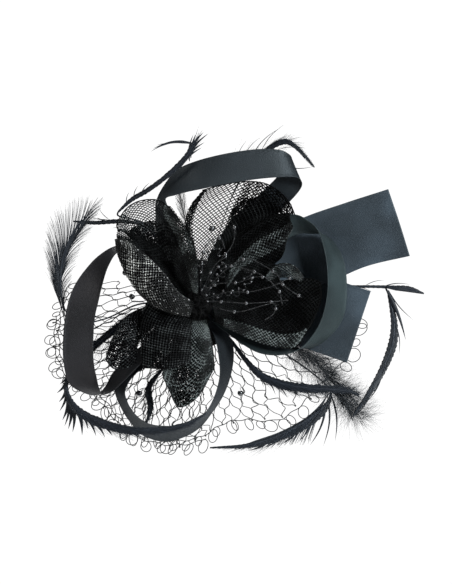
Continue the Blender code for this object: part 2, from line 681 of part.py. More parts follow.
VEIL_START, VEIL_END = 165.0, 362.0
VEIL_INNER_RADIUS = 9.0
VEIL_REACH = (72, 94, 103, 106, 104, 99, 100, 103, 103, 97, 89, 92, 101, 105, 108, 112, 115, 118)
VEIL_PLEATS = 9
VEIL_DEPTH = 5.3
VEIL_PLEAT_DEPTH = 2.2


def veil_depth(share, turn):
    """Depth of the net at a share of its reach and a share of its sweep."""
    pleat = math.sin(2 * math.pi * VEIL_PLEATS * turn)
    return VEIL_DEPTH + 0.5 * share + VEIL_PLEAT_DEPTH * share**1.3 * pleat


def build_veil():
    around, outwards = 64, 5
    reach = through([(value, 0, 0) for value in VEIL_REACH], around)
    rows = []
    for i in range(around):
        turn = i / (around - 1)
        angle = math.radians(VEIL_START + (VEIL_END - VEIL_START) * turn)
        row = []
        for j in range(outwards):
            share = j / (outwards - 1)
            radius = VEIL_INNER_RADIUS + (reach[i].x - VEIL_INNER_RADIUS) * share
            row.append((radius * math.cos(angle), radius * math.sin(angle), veil_depth(share, turn)))
        rows.append(row)
    sheet("veil_net", rows, NET_THICKNESS, "net", around, outwards)


def build_veil_beads():
    places = [(9.5, 50.5, 32.5), (-49, 21, 10), (-44.5, 5, 10), (-39.5, -60, 10.5), (28.5, -60, 10.5)]
    for k, place in enumerate(places, start=1):
        ball(f"veil_bead_{k}", place, VEIL_BEAD_RADIUS, "bead")


# ------------------------------------------------------------------ feathers


def build_left_feathers():
    plume = [(-9, -1.5, 6.6), (-38, 0, 7.6), (-62, -10, 9.5), (-80, -13, 10.5), (-88.5, -6, 11.5)]
    plume += [(-92, 8, 12.5), (-92, 24, 13.5), (-87, 42, 14), (-78, 57, 14.5), (-64, 71, 15)]
    plume_sides = [(0.6, 0.6), (0.7, 0.7), (0.7, 0.7), (0.8, 0.8), (1.0, 1.0)]
    plume_sides += [(3, 1.5), (7, 3), (12, 4), (12, 3), (1, 1)]
    fork = [(-8, 9, 6), (-20, 30, 6.3), (-33, 50, 7), (-45, 55, 8), (-56, 55.5, 10), (-70, 54.5, 11.5)]
    fork += [(-84, 55.5, 12)]
    fork_sides = [(0.6, 0.6), (0.7, 0.7), (0.9, 0.9), (1.2, 1.2), (1.5, 1.5), (1.2, 1.2), (0.4, 0.4)]
    lower = [(-8.5, -4.5, 7), (-40, -7, 7.8), (-56, -17, 9.5), (-70, -28.5, 10.5), (-83, -43, 11.5)]
    lower += [(-88.5, -54, 13.5), (-85, -64, 18), (-77, -72, 23), (-63, -79, 28), (-45, -83.5, 31.5)]
    lower += [(-25, -83.5, 32), (-8, -80, 32.5), (6, -72.5, 32.5)]
    lower_sides = [(0.6, 0.6), (1.0, 1.0), (1.6, 1.6), (1.6, 1.6), (1.6, 1.6), (1.5, 1.8), (1, 4)]
    lower_sides += [(1.5, 5), (2.5, 5), (2.5, 4), (2, 3), (1.5, 2), (0.4, 0.4)]
    inner = [(-3, -10.5, 7), (-10, -29, 8.3), (-24, -44, 9.7), (-33, -56, 11), (-32, -69, 12)]
    inner += [(-34.5, -80, 12.5)]
    inner_sides = [(0.6, 0.6), (0.6, 0.6), (1, 1), (2.2, 2.2), (2.2, 2.2), (0.5, 0.5)]
    vane("feather_left_plume", plume, plume_sides)
    vane("feather_left_fork", fork, fork_sides, count=14)
    vane("feather_lower_left", lower, lower_sides, count=30)
    vane("feather_inner", inner, inner_sides, count=12)


def build_top_feathers():
    left = [(-5.5, 11, 7.2), (-18, 31, 8.5), (-31, 50, 10.5), (-43, 56.5, 13), (-52, 58.5, 16.5)]
    left += [(-54, 60.5, 18.5), (-51, 64, 20), (-44, 70, 24), (-35, 75, 28.5), (-24, 82.5, 34)]
    left += [(-13, 92, 38.5), (-6, 100, 40), (-2, 108, 40.5), (1, 113.5, 40)]
    left_sides = [(0.6, 0.6), (0.6, 0.6), (0.6, 0.6), (0.7, 0.7), (0.7, 0.7), (0.7, 0.7), (1.2, 1.2)]
    left_sides += [(2, 2), (2.2, 2.2), (2.2, 2.2), (2.4, 2.4), (2.4, 2.4), (3, 3), (4.5, 4.5)]
    wisp = [(3, 11, 6), (12, 40, 6.5), (22, 70, 8), (34, 92, 12), (48, 104, 18), (58, 108.5, 22)]
    wisp += [(65, 105.5, 23), (72, 98.5, 22.5), (78, 91.5, 21)]
    wisp_sides = [(0.6, 0.6), (0.7, 0.7), (0.8, 0.8), (1.5, 1.5), (3, 2), (3, 2.5), (2, 2), (1.5, 1.5)]
    wisp_sides += [(0.5, 0.5)]
    inner = [(-1.5, 11, 8.5), (-5, 40, 9.5), (-10, 62, 12), (-13, 76, 14)]
    inner_sides = [(0.6, 0.6), (3, 3), (5, 6), (2, 3)]
    vane("feather_top_left", left, left_sides, count=34)
    vane("feather_top_wisp", wisp, wisp_sides)
    vane("feather_top_inner", inner, inner_sides, count=10)


def build_right_feathers():
    quill = [(9, 1.5, 6.6), (40, 7.5, 6.9), (80, 11.5, 7.6), (110, 11.7, 9), (130, 11.3, 10.5)]
    quill += [(142, 10.3, 11), (152, 7, 11)]
    quill_sides = [(0.7, 0.7), (0.7, 0.7), (0.7, 0.7), (0.8, 0.8), (1.0, 1.0), (1.4, 1.4), (0.4, 0.4)]
    droop = [(127.8, 8.8, 10), (130.5, -3, 11), (132, -15, 12), (130.5, -28, 13.5), (124, -44, 16)]
    droop += [(114, -61, 20), (103.5, -75.5, 21.5)]
    droop_sides = [(0.6, 0.6), (1.3, 1.3), (1.8, 1.8), (2.3, 2.3), (1.9, 1.9), (1.4, 1.4), (0.4, 0.4)]
    low = [(7, -7.5, 6.8), (14, -15.5, 7.4), (22, -24.5, 8.6), (31, -36, 13), (42, -46.5, 17.5)]
    low += [(56, -53, 20.5)]
    low += [(72, -56, 21.5), (88, -57, 22), (100, -58, 22), (108, -61, 21.5)]
    low_sides = [(0.7, 0.7), (0.9, 0.9), (1.2, 1.2), (1.5, 2), (1.5, 4), (2.5, 4.5), (3, 4)]
    low_sides += [(2.5, 2.5), (2, 2), (0.5, 0.5)]
    sweep = [(9.5, -5.5, 7.4), (35, -19, 8.4), (62, -36, 9.7), (80, -49, 10.7), (88.5, -57.5, 12.5)]
    sweep += [(88, -64, 15)]
    sweep += [(82, -71, 17), (70, -80, 18.5), (52, -89, 19), (32, -94.5, 19), (8, -96.3, 18.5)]
    sweep_sides = [(0.6, 0.6), (0.6, 0.6), (0.6, 0.6), (0.6, 0.6), (0.8, 0.8), (2, 1), (5, 1.5), (5.5, 2)]
    sweep_sides += [(4, 1.5), (2.5, 1), (0.4, 0.4)]
    tuft = [(10.5, -2, 8.4), (38, -14, 9), (62, -27, 10.3), (76, -36, 11.7), (88, -49, 15)]
    tuft += [(98, -62, 17.5), (109, -76, 18)]
    tuft_sides = [(0.6, 0.6), (0.6, 0.6), (2, 2), (7, 7), (8, 8), (7, 7), (4, 4)]
    vane("feather_right_quill", quill, quill_sides, count=16)
    vane("feather_right_droop", droop, droop_sides, count=16)
    vane("feather_low_right", low, low_sides, count=24)
    vane("feather_bottom_sweep", sweep, sweep_sides, count=26)
    vane("marabou_tuft", tuft, tuft_sides, count=18)


# ------------------------------------------------------------------ stamens


def build_stamens():
    routes = [
        ([(3, 2, 31), (15, 2, 38), (33, 1, 43), (49, 2, 45), (60, 3, 46)], (0.24, 0.53, 0.81)),
        ([(3, 4, 31), (12, 12.5, 38), (27, 14, 42), (38, 17.5, 45), (50, 17, 46)], (0.25, 0.52, 0.74, 0.87)),
        (
            [(2, 6, 31), (14, 25, 38), (24, 25, 42), (41, 20, 48), (53, 10, 50), (56, 0, 49.5)],
            (0.29, 0.41, 0.62, 0.89),
        ),
        (
            [(3.5, 6.5, 32), (18, 22, 42), (33, 29.5, 46), (51, 20.5, 50.5), (57, 12, 49.5), (69, 4, 48.5)],
            (0.44, 0.69, 0.82, 0.97),
        ),
        (
            [(4, 3, 32.5), (20, 8, 41), (34, 8, 46), (50, 12, 52.5), (62, 17.5, 52), (70, 17.5, 50.5)],
            (0.45, 0.87),
        ),
        (
            [(4, 0, 31), (25, -5, 41), (42, -1, 46), (51, 0.5, 48), (50, -6, 49), (44, -10.5, 48)],
            (0.34, 0.83),
        ),
        (
            [(0.5, 7, 31), (3, 20, 37), (3, 31, 41), (7, 40, 43), (15, 43, 44), (18, 36, 43)],
            (0.4, 0.55, 0.84),
        ),
        ([(2, 7.5, 32.5), (10, 24, 41), (19, 34, 44), (24, 43, 45), (24, 53, 45)], (0.3, 0.6, 0.96)),
    ]
    for k, (route, beads) in enumerate(routes, start=1):
        beaded_wire(f"stamen_{k}", route, beads)


def main():
    clear_scene()
    build_base()
    build_binding_post()
    build_clip_arm()
    build_clip_jaw()
    build_clip_pin()
    build_clip_spring()
    build_brooch_bar()
    build_brooch_pin()
    build_brooch_rivet()
    build_brooch_catch()
    build_loop_top()
    build_loop_left()
    build_loop_right()
    build_loop_bottom()
    build_tails()
    build_left_petals()
    build_top_petals()
    build_right_petals()
    build_lower_petals()
    build_veil()
    build_veil_beads()
    build_left_feathers()
    build_top_feathers()
    build_right_feathers()
    build_stamens()


main()
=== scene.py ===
"""The looks of the fascinator headpiece: satin, woven petals, net, feathers and beads on the CAD model."""

import math
import zlib

import bpy
import numpy as np
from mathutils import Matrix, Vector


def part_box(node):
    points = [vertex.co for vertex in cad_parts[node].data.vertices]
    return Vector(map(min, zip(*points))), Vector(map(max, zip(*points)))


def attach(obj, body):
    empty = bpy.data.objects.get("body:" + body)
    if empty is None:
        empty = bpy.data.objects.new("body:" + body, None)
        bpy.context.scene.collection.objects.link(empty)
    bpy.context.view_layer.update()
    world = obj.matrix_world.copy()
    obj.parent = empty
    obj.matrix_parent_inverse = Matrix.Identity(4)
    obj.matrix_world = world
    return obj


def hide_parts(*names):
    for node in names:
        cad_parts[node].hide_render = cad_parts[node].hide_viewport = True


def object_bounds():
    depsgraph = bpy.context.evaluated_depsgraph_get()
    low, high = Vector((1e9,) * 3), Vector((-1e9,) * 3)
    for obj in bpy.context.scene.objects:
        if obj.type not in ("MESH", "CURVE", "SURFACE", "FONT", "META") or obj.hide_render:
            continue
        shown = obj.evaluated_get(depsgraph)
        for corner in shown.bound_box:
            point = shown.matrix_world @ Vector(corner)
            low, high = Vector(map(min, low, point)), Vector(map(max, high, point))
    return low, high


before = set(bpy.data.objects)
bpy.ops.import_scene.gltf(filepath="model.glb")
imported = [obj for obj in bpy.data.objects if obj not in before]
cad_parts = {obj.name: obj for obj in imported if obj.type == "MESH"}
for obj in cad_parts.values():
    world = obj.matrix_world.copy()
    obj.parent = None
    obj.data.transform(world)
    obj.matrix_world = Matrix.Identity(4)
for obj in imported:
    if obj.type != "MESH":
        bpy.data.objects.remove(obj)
CAD_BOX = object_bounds()

MM = 0.001
BODY = "headpiece"
TOWARDS_VIEWER = np.array([0.0, -1.0, 0.0])

# Half the thickness of the CAD sheets, which fitting allows for
SATIN_HALF = 0.3 * MM
SINAMAY_HALF = 0.4 * MM
# The bore of every bead, as a share of its radius
BEAD_HOLE = 0.22


# ------------------------------------------------------------------ shapes


def at(points):
    """Points of (x, z, depth in front of the base) in millimetres, in the row frame in metres."""
    p = np.asarray(points, float)
    return np.stack([p[..., 0], -p[..., 2], p[..., 1]], -1) * MM


def curve(points, count):
    """count points along a smooth curve that passes through the given points, or rows of points."""
    p = np.asarray(points, float)
    padded = np.concatenate([[2 * p[0] - p[1]], p, [2 * p[-1] - p[-2]]])
    spans = len(p) - 1
    place = np.linspace(0, spans, count)
    k = np.minimum(place.astype(int), spans - 1)
    t = (place - k).reshape(-1, *[1] * (p.ndim - 1))
    a, b, c, d = (padded[k + i] for i in range(4))
    return 0.5 * (2 * b + (c - a) * t + (2 * a - 5 * b + 4 * c - d) * t**2 + (3 * (b - c) + d - a) * t**3)


def unit(vectors):
    return vectors / np.maximum(np.linalg.norm(vectors, axis=-1, keepdims=True), 1e-12)


def random_of(name):
    """A generator seeded by name, so that every run draws the same numbers."""
    return np.random.default_rng(zlib.crc32(name.encode()))


def corners(node):
    """The low and the high corner of a CAD node's box."""
    return [np.array(corner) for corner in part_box(node)]


def lengths_along(points):
    """How far each point lies along its line."""
    return np.concatenate([[0], np.cumsum(np.linalg.norm(np.diff(points, axis=0), axis=1))])


def spun(first, second, angle):
    """Directions at angles in the plane of two others."""
    return first * np.cos(angle)[:, None] + second * np.sin(angle)[:, None]


def fitted(node, points, *reach):
    """Points scaled and shifted by what takes the box of reach to the CAD node's box."""
    both = np.concatenate([r.reshape(-1, 3) for r in reach])
    low, high = corners(node)
    mine = both.min(0)
    scale = (high - low) / np.maximum(both.max(0) - mine, 1e-6)
    return (points - mine) * scale + low


class Sheet:
    """A smooth surface through rows of points, read at shares of its length and of its width."""

    def __init__(self, node, rows, half, along=181, across=61):
        grid = curve([curve(at(row), across) for row in rows], along)
        normal = self.normals(grid)
        self.grid = fitted(node, grid, grid + normal * half, grid - normal * half) if node else grid
        self.normal = self.normals(self.grid)
        steps = np.linalg.norm(np.diff(self.grid, axis=0), axis=2)
        spans = np.linalg.norm(np.diff(self.grid, axis=1), axis=2)
        self.s = np.concatenate([[0], np.cumsum(steps.mean(1))])
        self.t = np.concatenate([[0], np.cumsum(spans.mean(0))])
        self.length, self.width = self.s[-1], spans.sum(1).max()
        self.s, self.t = self.s / self.s[-1], self.t / self.t[-1]
        self.mean_width = float((steps[:, :-1] * spans[:-1]).sum()) / self.length

    @staticmethod
    def normals(grid):
        return unit(np.cross(np.gradient(grid, axis=0), np.gradient(grid, axis=1)))

    def facing(self):
        """1 where the normals point to the viewer on the whole, or -1."""
        return np.sign((self.normal.reshape(-1, 3) @ TOWARDS_VIEWER).mean()) or 1.0

    def flat(self, part):
        """The widest place and the mean length of a part of the modelled surface, taken as its cut."""
        i0, i1 = (int(round(np.interp(s, self.s, np.arange(len(self.s))))) for s in part[:2])
        j0, j1 = (int(round(np.interp(t, self.t, np.arange(len(self.t))))) for t in part[2:])
        cut = self.grid[i0 : i1 + 1, j0 : j1 + 1]
        widths = np.linalg.norm(np.diff(cut, axis=1), axis=2).sum(1)
        lengths = np.linalg.norm(np.diff(cut, axis=0), axis=2).sum(0)
        return float(widths.max()), float(lengths.mean())

    def read(self, s, t):
        """The points and normals at shares s of the length and t of the width."""
        asked = ((s, self.s), (t, self.t))
        places = (np.interp(share, known, np.arange(len(known))) for share, known in asked)
        i, j = np.broadcast_arrays(*places)
        i0 = np.clip(i.astype(int), 0, len(self.s) - 2)
        j0 = np.clip(j.astype(int), 0, len(self.t) - 2)
        fi, fj = (i - i0)[..., None], (j - j0)[..., None]
        found = []
        for values in (self.grid, self.normal):
            near = values[i0, j0] * (1 - fj) + values[i0, j0 + 1] * fj
            far = values[i0 + 1, j0] * (1 - fj) + values[i0 + 1, j0 + 1] * fj
            found.append(near * (1 - fi) + far * fi)
        return found[0], unit(found[1])


class Shape:
    """Gathers closed skins, tubes and beads into one mesh. Each point keeps (along, around, shade)."""

    def __init__(self):
        self.points, self.faces, self.cloth, self.count = [], [], [], 0

    def add(self, points, faces, cloth):
        self.points.append(points.reshape(-1, 3))
        self.cloth.append(cloth.reshape(-1, 3))
        self.faces += [f + self.count for f in faces]
        self.count += len(self.points[-1])

    def rings(self, rings, cloth):
        """A closed skin over rings of points, with a flat cap on the first and the last."""
        n, sides = rings.shape[:2]
        index = np.arange(n * sides).reshape(n, sides)
        turned = np.roll(index, -1, axis=1)
        skin = np.stack([index[:-1], index[1:], turned[1:], turned[:-1]], -1).reshape(-1, 4)
        self.add(rings, [skin, index[:1], index[-1:, ::-1]], cloth)

    def tube(self, points, wide, high=None, sides=5, normals=None, shade=0.5):
        """A closed tube along points, wide across its normals and high along them."""
        points = np.asarray(points, float)
        wide = np.broadcast_to(wide, len(points))
        high = wide if high is None else np.broadcast_to(high, len(points))
        run = unit(np.gradient(points, axis=0))
        if normals is None:
            normals = steady(run)
        side = unit(np.cross(run, normals))
        up = np.cross(side, run)
        angle = 2 * np.pi * np.arange(sides) / sides
        out = side[:, None] * (np.cos(angle) * wide[:, None])[..., None]
        out = out + up[:, None] * (np.sin(angle) * high[:, None])[..., None]
        cloth = np.empty((len(points), sides, 3))
        cloth[..., 0], cloth[..., 1] = lengths_along(points)[:, None], angle / (2 * np.pi)
        cloth[..., 2] = np.reshape(shade, (-1, 1))
        self.rings(points[:, None] + out, cloth)

    def bead(self, centre, axis, radius, turns=16):
        """A round bead with a bore along axis."""
        hole = BEAD_HOLE
        axis = unit(np.asarray(axis, float))
        side = unit(np.cross(axis, [0.31, 0.52, 0.79]))
        other = np.cross(axis, side)
        edge = math.asin(hole)
        profile = [(math.sin(a), math.cos(a)) for a in np.linspace(edge, math.pi - edge, 9)]
        profile += [(hole * 0.9, -0.9), (hole * 0.8, 0), (hole * 0.9, 0.9)]
        rows = []
        for angle in 2 * np.pi * np.arange(turns) / turns:
            out = side * math.cos(angle) + other * math.sin(angle)
            rows.append([centre + (out * r + axis * h) * radius for r, h in profile])
        rows = np.array(rows)
        index = np.arange(rows.shape[0] * rows.shape[1]).reshape(rows.shape[:2])
        down, turned = np.roll(index, -1, axis=1), np.roll(index, -1, axis=0)
        skin = np.stack([index, down, np.roll(turned, -1, axis=1), turned], -1).reshape(-1, 4)
        self.add(rows, [skin], np.full(rows.shape, 0.5))

    def mesh(self, name):
        mesh = bpy.data.meshes.new(name)
        points = np.concatenate(self.points)
        mesh.vertices.add(len(points))
        mesh.vertices.foreach_set("co", points.astype(np.float32).ravel())
        sizes = np.concatenate([np.full(len(f), f.shape[1]) for f in self.faces])
        loops = np.concatenate([f.ravel() for f in self.faces])
        mesh.loops.add(len(loops))
        mesh.loops.foreach_set("vertex_index", loops.astype(np.int32))
        mesh.polygons.add(len(sizes))
        starts = np.concatenate([[0], np.cumsum(sizes)[:-1]])
        mesh.polygons.foreach_set("loop_start", starts.astype(np.int32))
        mesh.polygons.foreach_set("use_smooth", np.ones(len(sizes), bool))
        mesh.update(calc_edges=True)
        cloth = mesh.attributes.new("cloth", "FLOAT_VECTOR", "POINT")
        cloth.data.foreach_set("vector", np.concatenate(self.cloth).astype(np.float32).ravel())
        mesh.validate()
        return mesh


def steady(run):
    """A direction across each run that turns as little as it can."""
    normal = np.cross(run[0], [0.2, 0.9, 0.4])
    found = []
    for direction in run:
        normal = unit(normal - direction * (normal @ direction))
        found.append(normal)
    return np.array(found)


def piece(name, shape, look, slot, *nodes, body=BODY):
    """A finished mesh in the scene: its look, the body it rides on and the CAD nodes it replaces. The slot
    argument is not used.
    """
    made = bpy.data.objects.new(name, shape.mesh(name))
    bpy.context.scene.collection.objects.link(made)
    made.data.materials.append(look)
    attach(made, body)
    if nodes:
        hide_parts(*nodes)
    return made


# ------------------------------------------------------------------ materials


class Look:
    """A material's nodes. Values that are the same all over are set on the shader's own sockets."""

    def __init__(self, name, **values):
        self.material = bpy.data.materials.new(name)
        self.material.use_nodes = True
        self.tree = self.material.node_tree
        self.shader = self.tree.nodes["Principled BSDF"]
        for socket, value in values.items():
            self.shader.inputs[socket.replace("_", " ")].default_value = value

    def node(self, kind, sockets=(), **settings):
        made = self.tree.nodes.new(kind)
        for name, value in settings.items():
            setattr(made, name, value)
        for name, value in dict(sockets).items():
            if isinstance(value, bpy.types.NodeSocket):
                self.tree.links.new(value, made.inputs[name])
            else:
                made.inputs[name].default_value = value
        return made

    def scaled(self, vector, scale):
        return self.node("ShaderNodeMapping", {"Vector": vector, "Scale": scale}).outputs["Vector"]

    def cloth(self, *scale):
        """The (along, around, shade) of each point, scaled."""
        return self.scaled(self.node("ShaderNodeAttribute", attribute_name="cloth").outputs["Vector"], scale)

    def place(self, *scale):
        """Each point's own position, scaled by one number or by three."""
        read = self.node("ShaderNodeTexCoord").outputs["Object"]
        return self.scaled(read, scale if len(scale) == 3 else scale * 3)

    def shade(self):
        """The third part of the cloth attribute: how light the point is to be."""
        read = self.node("ShaderNodeAttribute", attribute_name="cloth")
        return self.node("ShaderNodeSeparateXYZ", {"Vector": read.outputs["Vector"]}).outputs["Z"]

    def noise(self, vector, scale=1.0, detail=3.0, roughness=0.5):
        sockets = {"Vector": vector, "Scale": scale, "Detail": detail, "Roughness": roughness}
        return self.node("ShaderNodeTexNoise", sockets).outputs["Fac"]

    def spread(self, value, low, high, from_low=0.3, from_high=0.7):
        sockets = {"Value": value, "From Min": from_low, "From Max": from_high}
        sockets |= {"To Min": low, "To Max": high}
        return self.node("ShaderNodeMapRange", sockets).outputs["Result"]

    def wave(self, vector, scale, direction, **sockets):
        named = {"Vector": vector, "Scale": scale, **sockets}
        return self.node("ShaderNodeTexWave", named, bands_direction=direction).outputs["Fac"]

    def ramp(self, value, *stops):
        made = self.node("ShaderNodeValToRGB", {"Fac": value})
        elements = made.color_ramp.elements
        while len(elements) < len(stops):
            elements.new(0.5)
        for element, (place, colour) in zip(elements, stops):
            element.position, element.color = place, (*colour, 1.0)
        return made.outputs["Color"]

    def mix(self, value, first, second):
        made = self.node("ShaderNodeMix", data_type="RGBA")
        for k, part in ((0, value), (6, first), (7, second)):
            self.tree.links.new(part, made.inputs[k])
        return made.outputs[2]

    def bump(self, height, distance, strength=1.0, under=None):
        sockets = {"Height": height, "Distance": distance, "Strength": strength}
        if under is not None:
            sockets["Normal"] = under
        return self.node("ShaderNodeBump", sockets).outputs["Normal"]

    def set(self, **sockets):
        for name, value in sockets.items():
            self.tree.links.new(value, self.shader.inputs[name.replace("_", " ")])
        return self.material


def satin(name, deep, lighter, tint):
    """Satin: warp streaks along it, a fine rib across it, a grain of thread and slow changes of tone, whose
    lighter cloudy patches are painted sheen highlights.
    """
    tint = (*tint, 1.0)
    sheen = {"Sheen_Weight": 0.03, "Sheen_Roughness": 0.4, "Sheen_Tint": tint}
    look = Look(name, **sheen, Specular_IOR_Level=0.32, Specular_Tint=tint)
    streaks = look.noise(look.cloth(60.0, 2600.0, 0.0), detail=4.0)
    grain = look.noise(look.cloth(1500.0, 1500.0, 0.0), detail=3.0, roughness=0.7)
    tone_and_sheen_cloud = look.noise(look.place(26.0), detail=2.0)
    rib = look.wave(look.cloth(1.0, 0.0, 0.0), 320.0, "X", Distortion=1.5, Detail=1.0)
    tone = look.ramp(grain, (0.3, deep), (0.75, lighter))
    # Painted highlight: a lighter tone in slow cloudy patches stands in for soft sheen.
    painted_sheen_tone = look.ramp(tone_and_sheen_cloud, (0.38, deep), (0.64, tuple(1.25 * part for part in lighter)))
    normal = look.bump(grain, 0.0003, 0.7, look.bump(rib, 0.00004, 0.4))
    return look.set(
        Base_Color=look.mix(look.spread(tone_and_sheen_cloud, 0.35, 0.85), tone, painted_sheen_tone),
        Roughness=look.spread(streaks, 0.42, 0.56),
        Normal=look.bump(streaks, 0.00006, 0.4, normal),
    )


def sinamay_look(name, dark, lit, glint_from, gloss):
    """Stiff fibre threads with painted highlights where they cross on top, stronger in painted patches of
    light, and white flecks that are painted glints.
    """
    look = Look(name, Specular_IOR_Level=gloss)
    fibre = look.noise(look.cloth(900.0, 6.0, 0.0), detail=3.0)
    glint_fleck_noise = look.noise(look.place(760.0), detail=2.0, roughness=0.6)
    painted_light_patch = look.spread(look.noise(look.place(95.0), detail=2.0), 0.4, 1.0, 0.38, 0.62)
    # Painted highlight: the thread crests, made lighter in patches.
    painted_crest_light = look.node("ShaderNodeMath", {0: look.shade(), 1: painted_light_patch}, operation="MULTIPLY").outputs["Value"]
    glint_grey, glint_white = tuple(0.5 * part for part in lit), tuple(min(3.0 * part, 0.5) for part in lit)
    tone = look.ramp(painted_crest_light, (0.0, tuple(0.4 * part for part in dark)), (0.3, dark), (0.75, lit))
    # White flecks painted as glints.
    painted_glints = look.spread(glint_fleck_noise, 0.0, 1.0, glint_from, glint_from + 0.07)
    return look.set(
        Base_Color=look.mix(painted_glints, tone, look.ramp(fibre, (0.3, glint_grey), (0.7, glint_white))),
        Roughness=look.spread(fibre, 0.3, 0.6),
        Normal=look.bump(fibre, 0.00008, 0.6),
    )


def feather_look(name, deep, lighter, sheen):
    """Barbs that differ in tone from one to the next, with a fine streak along each."""
    sheens = {"Sheen_Weight": 0.06, "Sheen_Roughness": 0.35, "Sheen_Tint": (*sheen, 1.0)}
    look = Look(name, **sheens, Specular_IOR_Level=0.3)
    barb = look.noise(look.cloth(500.0, 3.0, 60.0), detail=3.0)
    return look.set(
        Base_Color=look.ramp(look.shade(), (0.0, deep), (1.0, lighter)),
        Roughness=look.spread(barb, 0.36, 0.6),
        Normal=look.bump(barb, 0.00005, 0.5),
    )


def thread_look(name, deep, lighter, twist=2400.0, roughness=(0.5, 0.7), gloss=0.45):
    """Spun thread: its strands wind round it."""
    look = Look(name, Specular_IOR_Level=gloss)
    wind = look.wave(look.cloth(twist, 3.0, 0.0), 0.4, "DIAGONAL", Distortion=0.6)
    fluff = look.noise(look.place(700.0), detail=3.0)
    return look.set(
        Base_Color=look.ramp(fluff, (0.3, deep), (0.75, lighter)),
        Roughness=look.spread(fluff, *roughness),
        Normal=look.bump(wind, 0.00008, 0.5),
    )


def bead_look():
    look = Look("bead_gloss", Coat_Weight=0.8, Coat_Roughness=0.03, Specular_IOR_Level=0.6)
    haze = look.noise(look.place(420.0), detail=4.0)
    return look.set(
        Base_Color=look.ramp(haze, (0.3, (0.003, 0.003, 0.0035)), (0.8, (0.016, 0.016, 0.018))),
        Roughness=look.spread(haze, 0.05, 0.16),
        Normal=look.bump(haze, 0.00002, 0.25),
    )


def felt_look(name, deep, lighter):
    look = Look(name, Sheen_Weight=0.5, Sheen_Roughness=0.6, Specular_IOR_Level=0.2)
    fibre = look.noise(look.place(1500.0), detail=6.0, roughness=0.7)
    matted = look.noise(look.place(180.0), detail=4.0)
    share = look.spread(matted, 0.2, 0.8)
    fine, coarse = (look.ramp(part, (0.3, deep), (0.8, lighter)) for part in (fibre, matted))
    return look.set(
        Base_Color=look.mix(share, fine, coarse),
        Roughness=look.spread(fibre, 0.85, 1.0),
        Normal=look.bump(fibre, 0.0002, 0.8, look.bump(matted, 0.0004, 0.5)),
    )


def tape_look():
    """Floral binding tape: crinkled paper bands wound round the stems."""
    look = Look("binding_tape", Specular_IOR_Level=0.12)
    bands = look.wave(look.place(1.0, 1.0, 0.25), 120.0, "Y", Distortion=2.5, Detail=3.0)
    crinkle = look.noise(look.place(900.0, 300.0, 900.0), detail=5.0)
    return look.set(
        Base_Color=look.ramp(crinkle, (0.3, (0.002, 0.002, 0.002)), (0.8, (0.008, 0.008, 0.008))),
        Roughness=look.spread(crinkle, 0.5, 0.8),
        Normal=look.bump(crinkle, 0.0003, 0.6, look.bump(bands, 0.0004, 0.7)),
    )


def steel_look(name, along, tone, polish):
    """Plated steel: drawn lines along one axis, handling marks and dulled spots."""
    look = Look(name, Metallic=1.0)
    stretch = [2600.0, 2600.0, 2600.0]
    stretch[along] = 60.0
    lines = look.noise(look.place(*stretch), detail=3.0)
    wear = look.noise(look.place(140.0), detail=5.0, roughness=0.65)
    dull, share = tuple(0.72 * part for part in tone), look.spread(wear, 0.0, 0.6)
    drawn, worn = look.ramp(lines, (0.2, tone), (0.9, dull)), look.ramp(wear, (0.4, tone), (0.8, dull))
    return look.set(
        Base_Color=look.mix(share, drawn, worn),
        Roughness=look.spread(wear, polish, polish + 0.16),
        Normal=look.bump(lines, 0.00004, 0.25),
    )


def floor_look():
    look = Look("floor_pale")
    tone_and_sheen_cloud = look.noise(look.place(2.0), detail=3.0)
    return look.set(
        Base_Color=look.ramp(tone_and_sheen_cloud, (0.0, (0.86, 0.86, 0.86)), (1.0, (0.9, 0.9, 0.9))),
        Roughness=look.spread(tone_and_sheen_cloud, 0.8, 0.95),
    )


# ------------------------------------------------------------------ ribbons

# Shares of the width across a ribbon, and half its thickness there in millimetres: its woven selvage
SELVAGE = [(0.0, 0.13), (0.012, 0.24), (0.035, 0.23), (0.05, 0.12)]
# The same between the selvages
MIDDLE_HALF = 0.12
NARROW_MIDDLE = (0.15, 0.28, 0.4, 0.5, 0.6, 0.72, 0.85)

# The share of a ribbon's length over which the gathers at its foot die out
GATHER_REACH = 0.05
# How many millimetres of ribbon a short and a long ripple take to turn through one radian
RIPPLES = (9.0, 23.0)


def ribbon_profile(wide):
    """Shares across a ribbon and the half thickness at each. The selvage is as broad on a wide ribbon."""
    edge = [(t / wide, h) for t, h in SELVAGE]
    middle = NARROW_MIDDLE if wide == 1 else np.linspace(0.06, 0.94, 7 * wide)
    return np.array(edge + [(t, MIDDLE_HALF) for t in middle] + [(1 - t, h) for t, h in reversed(edge)]).T


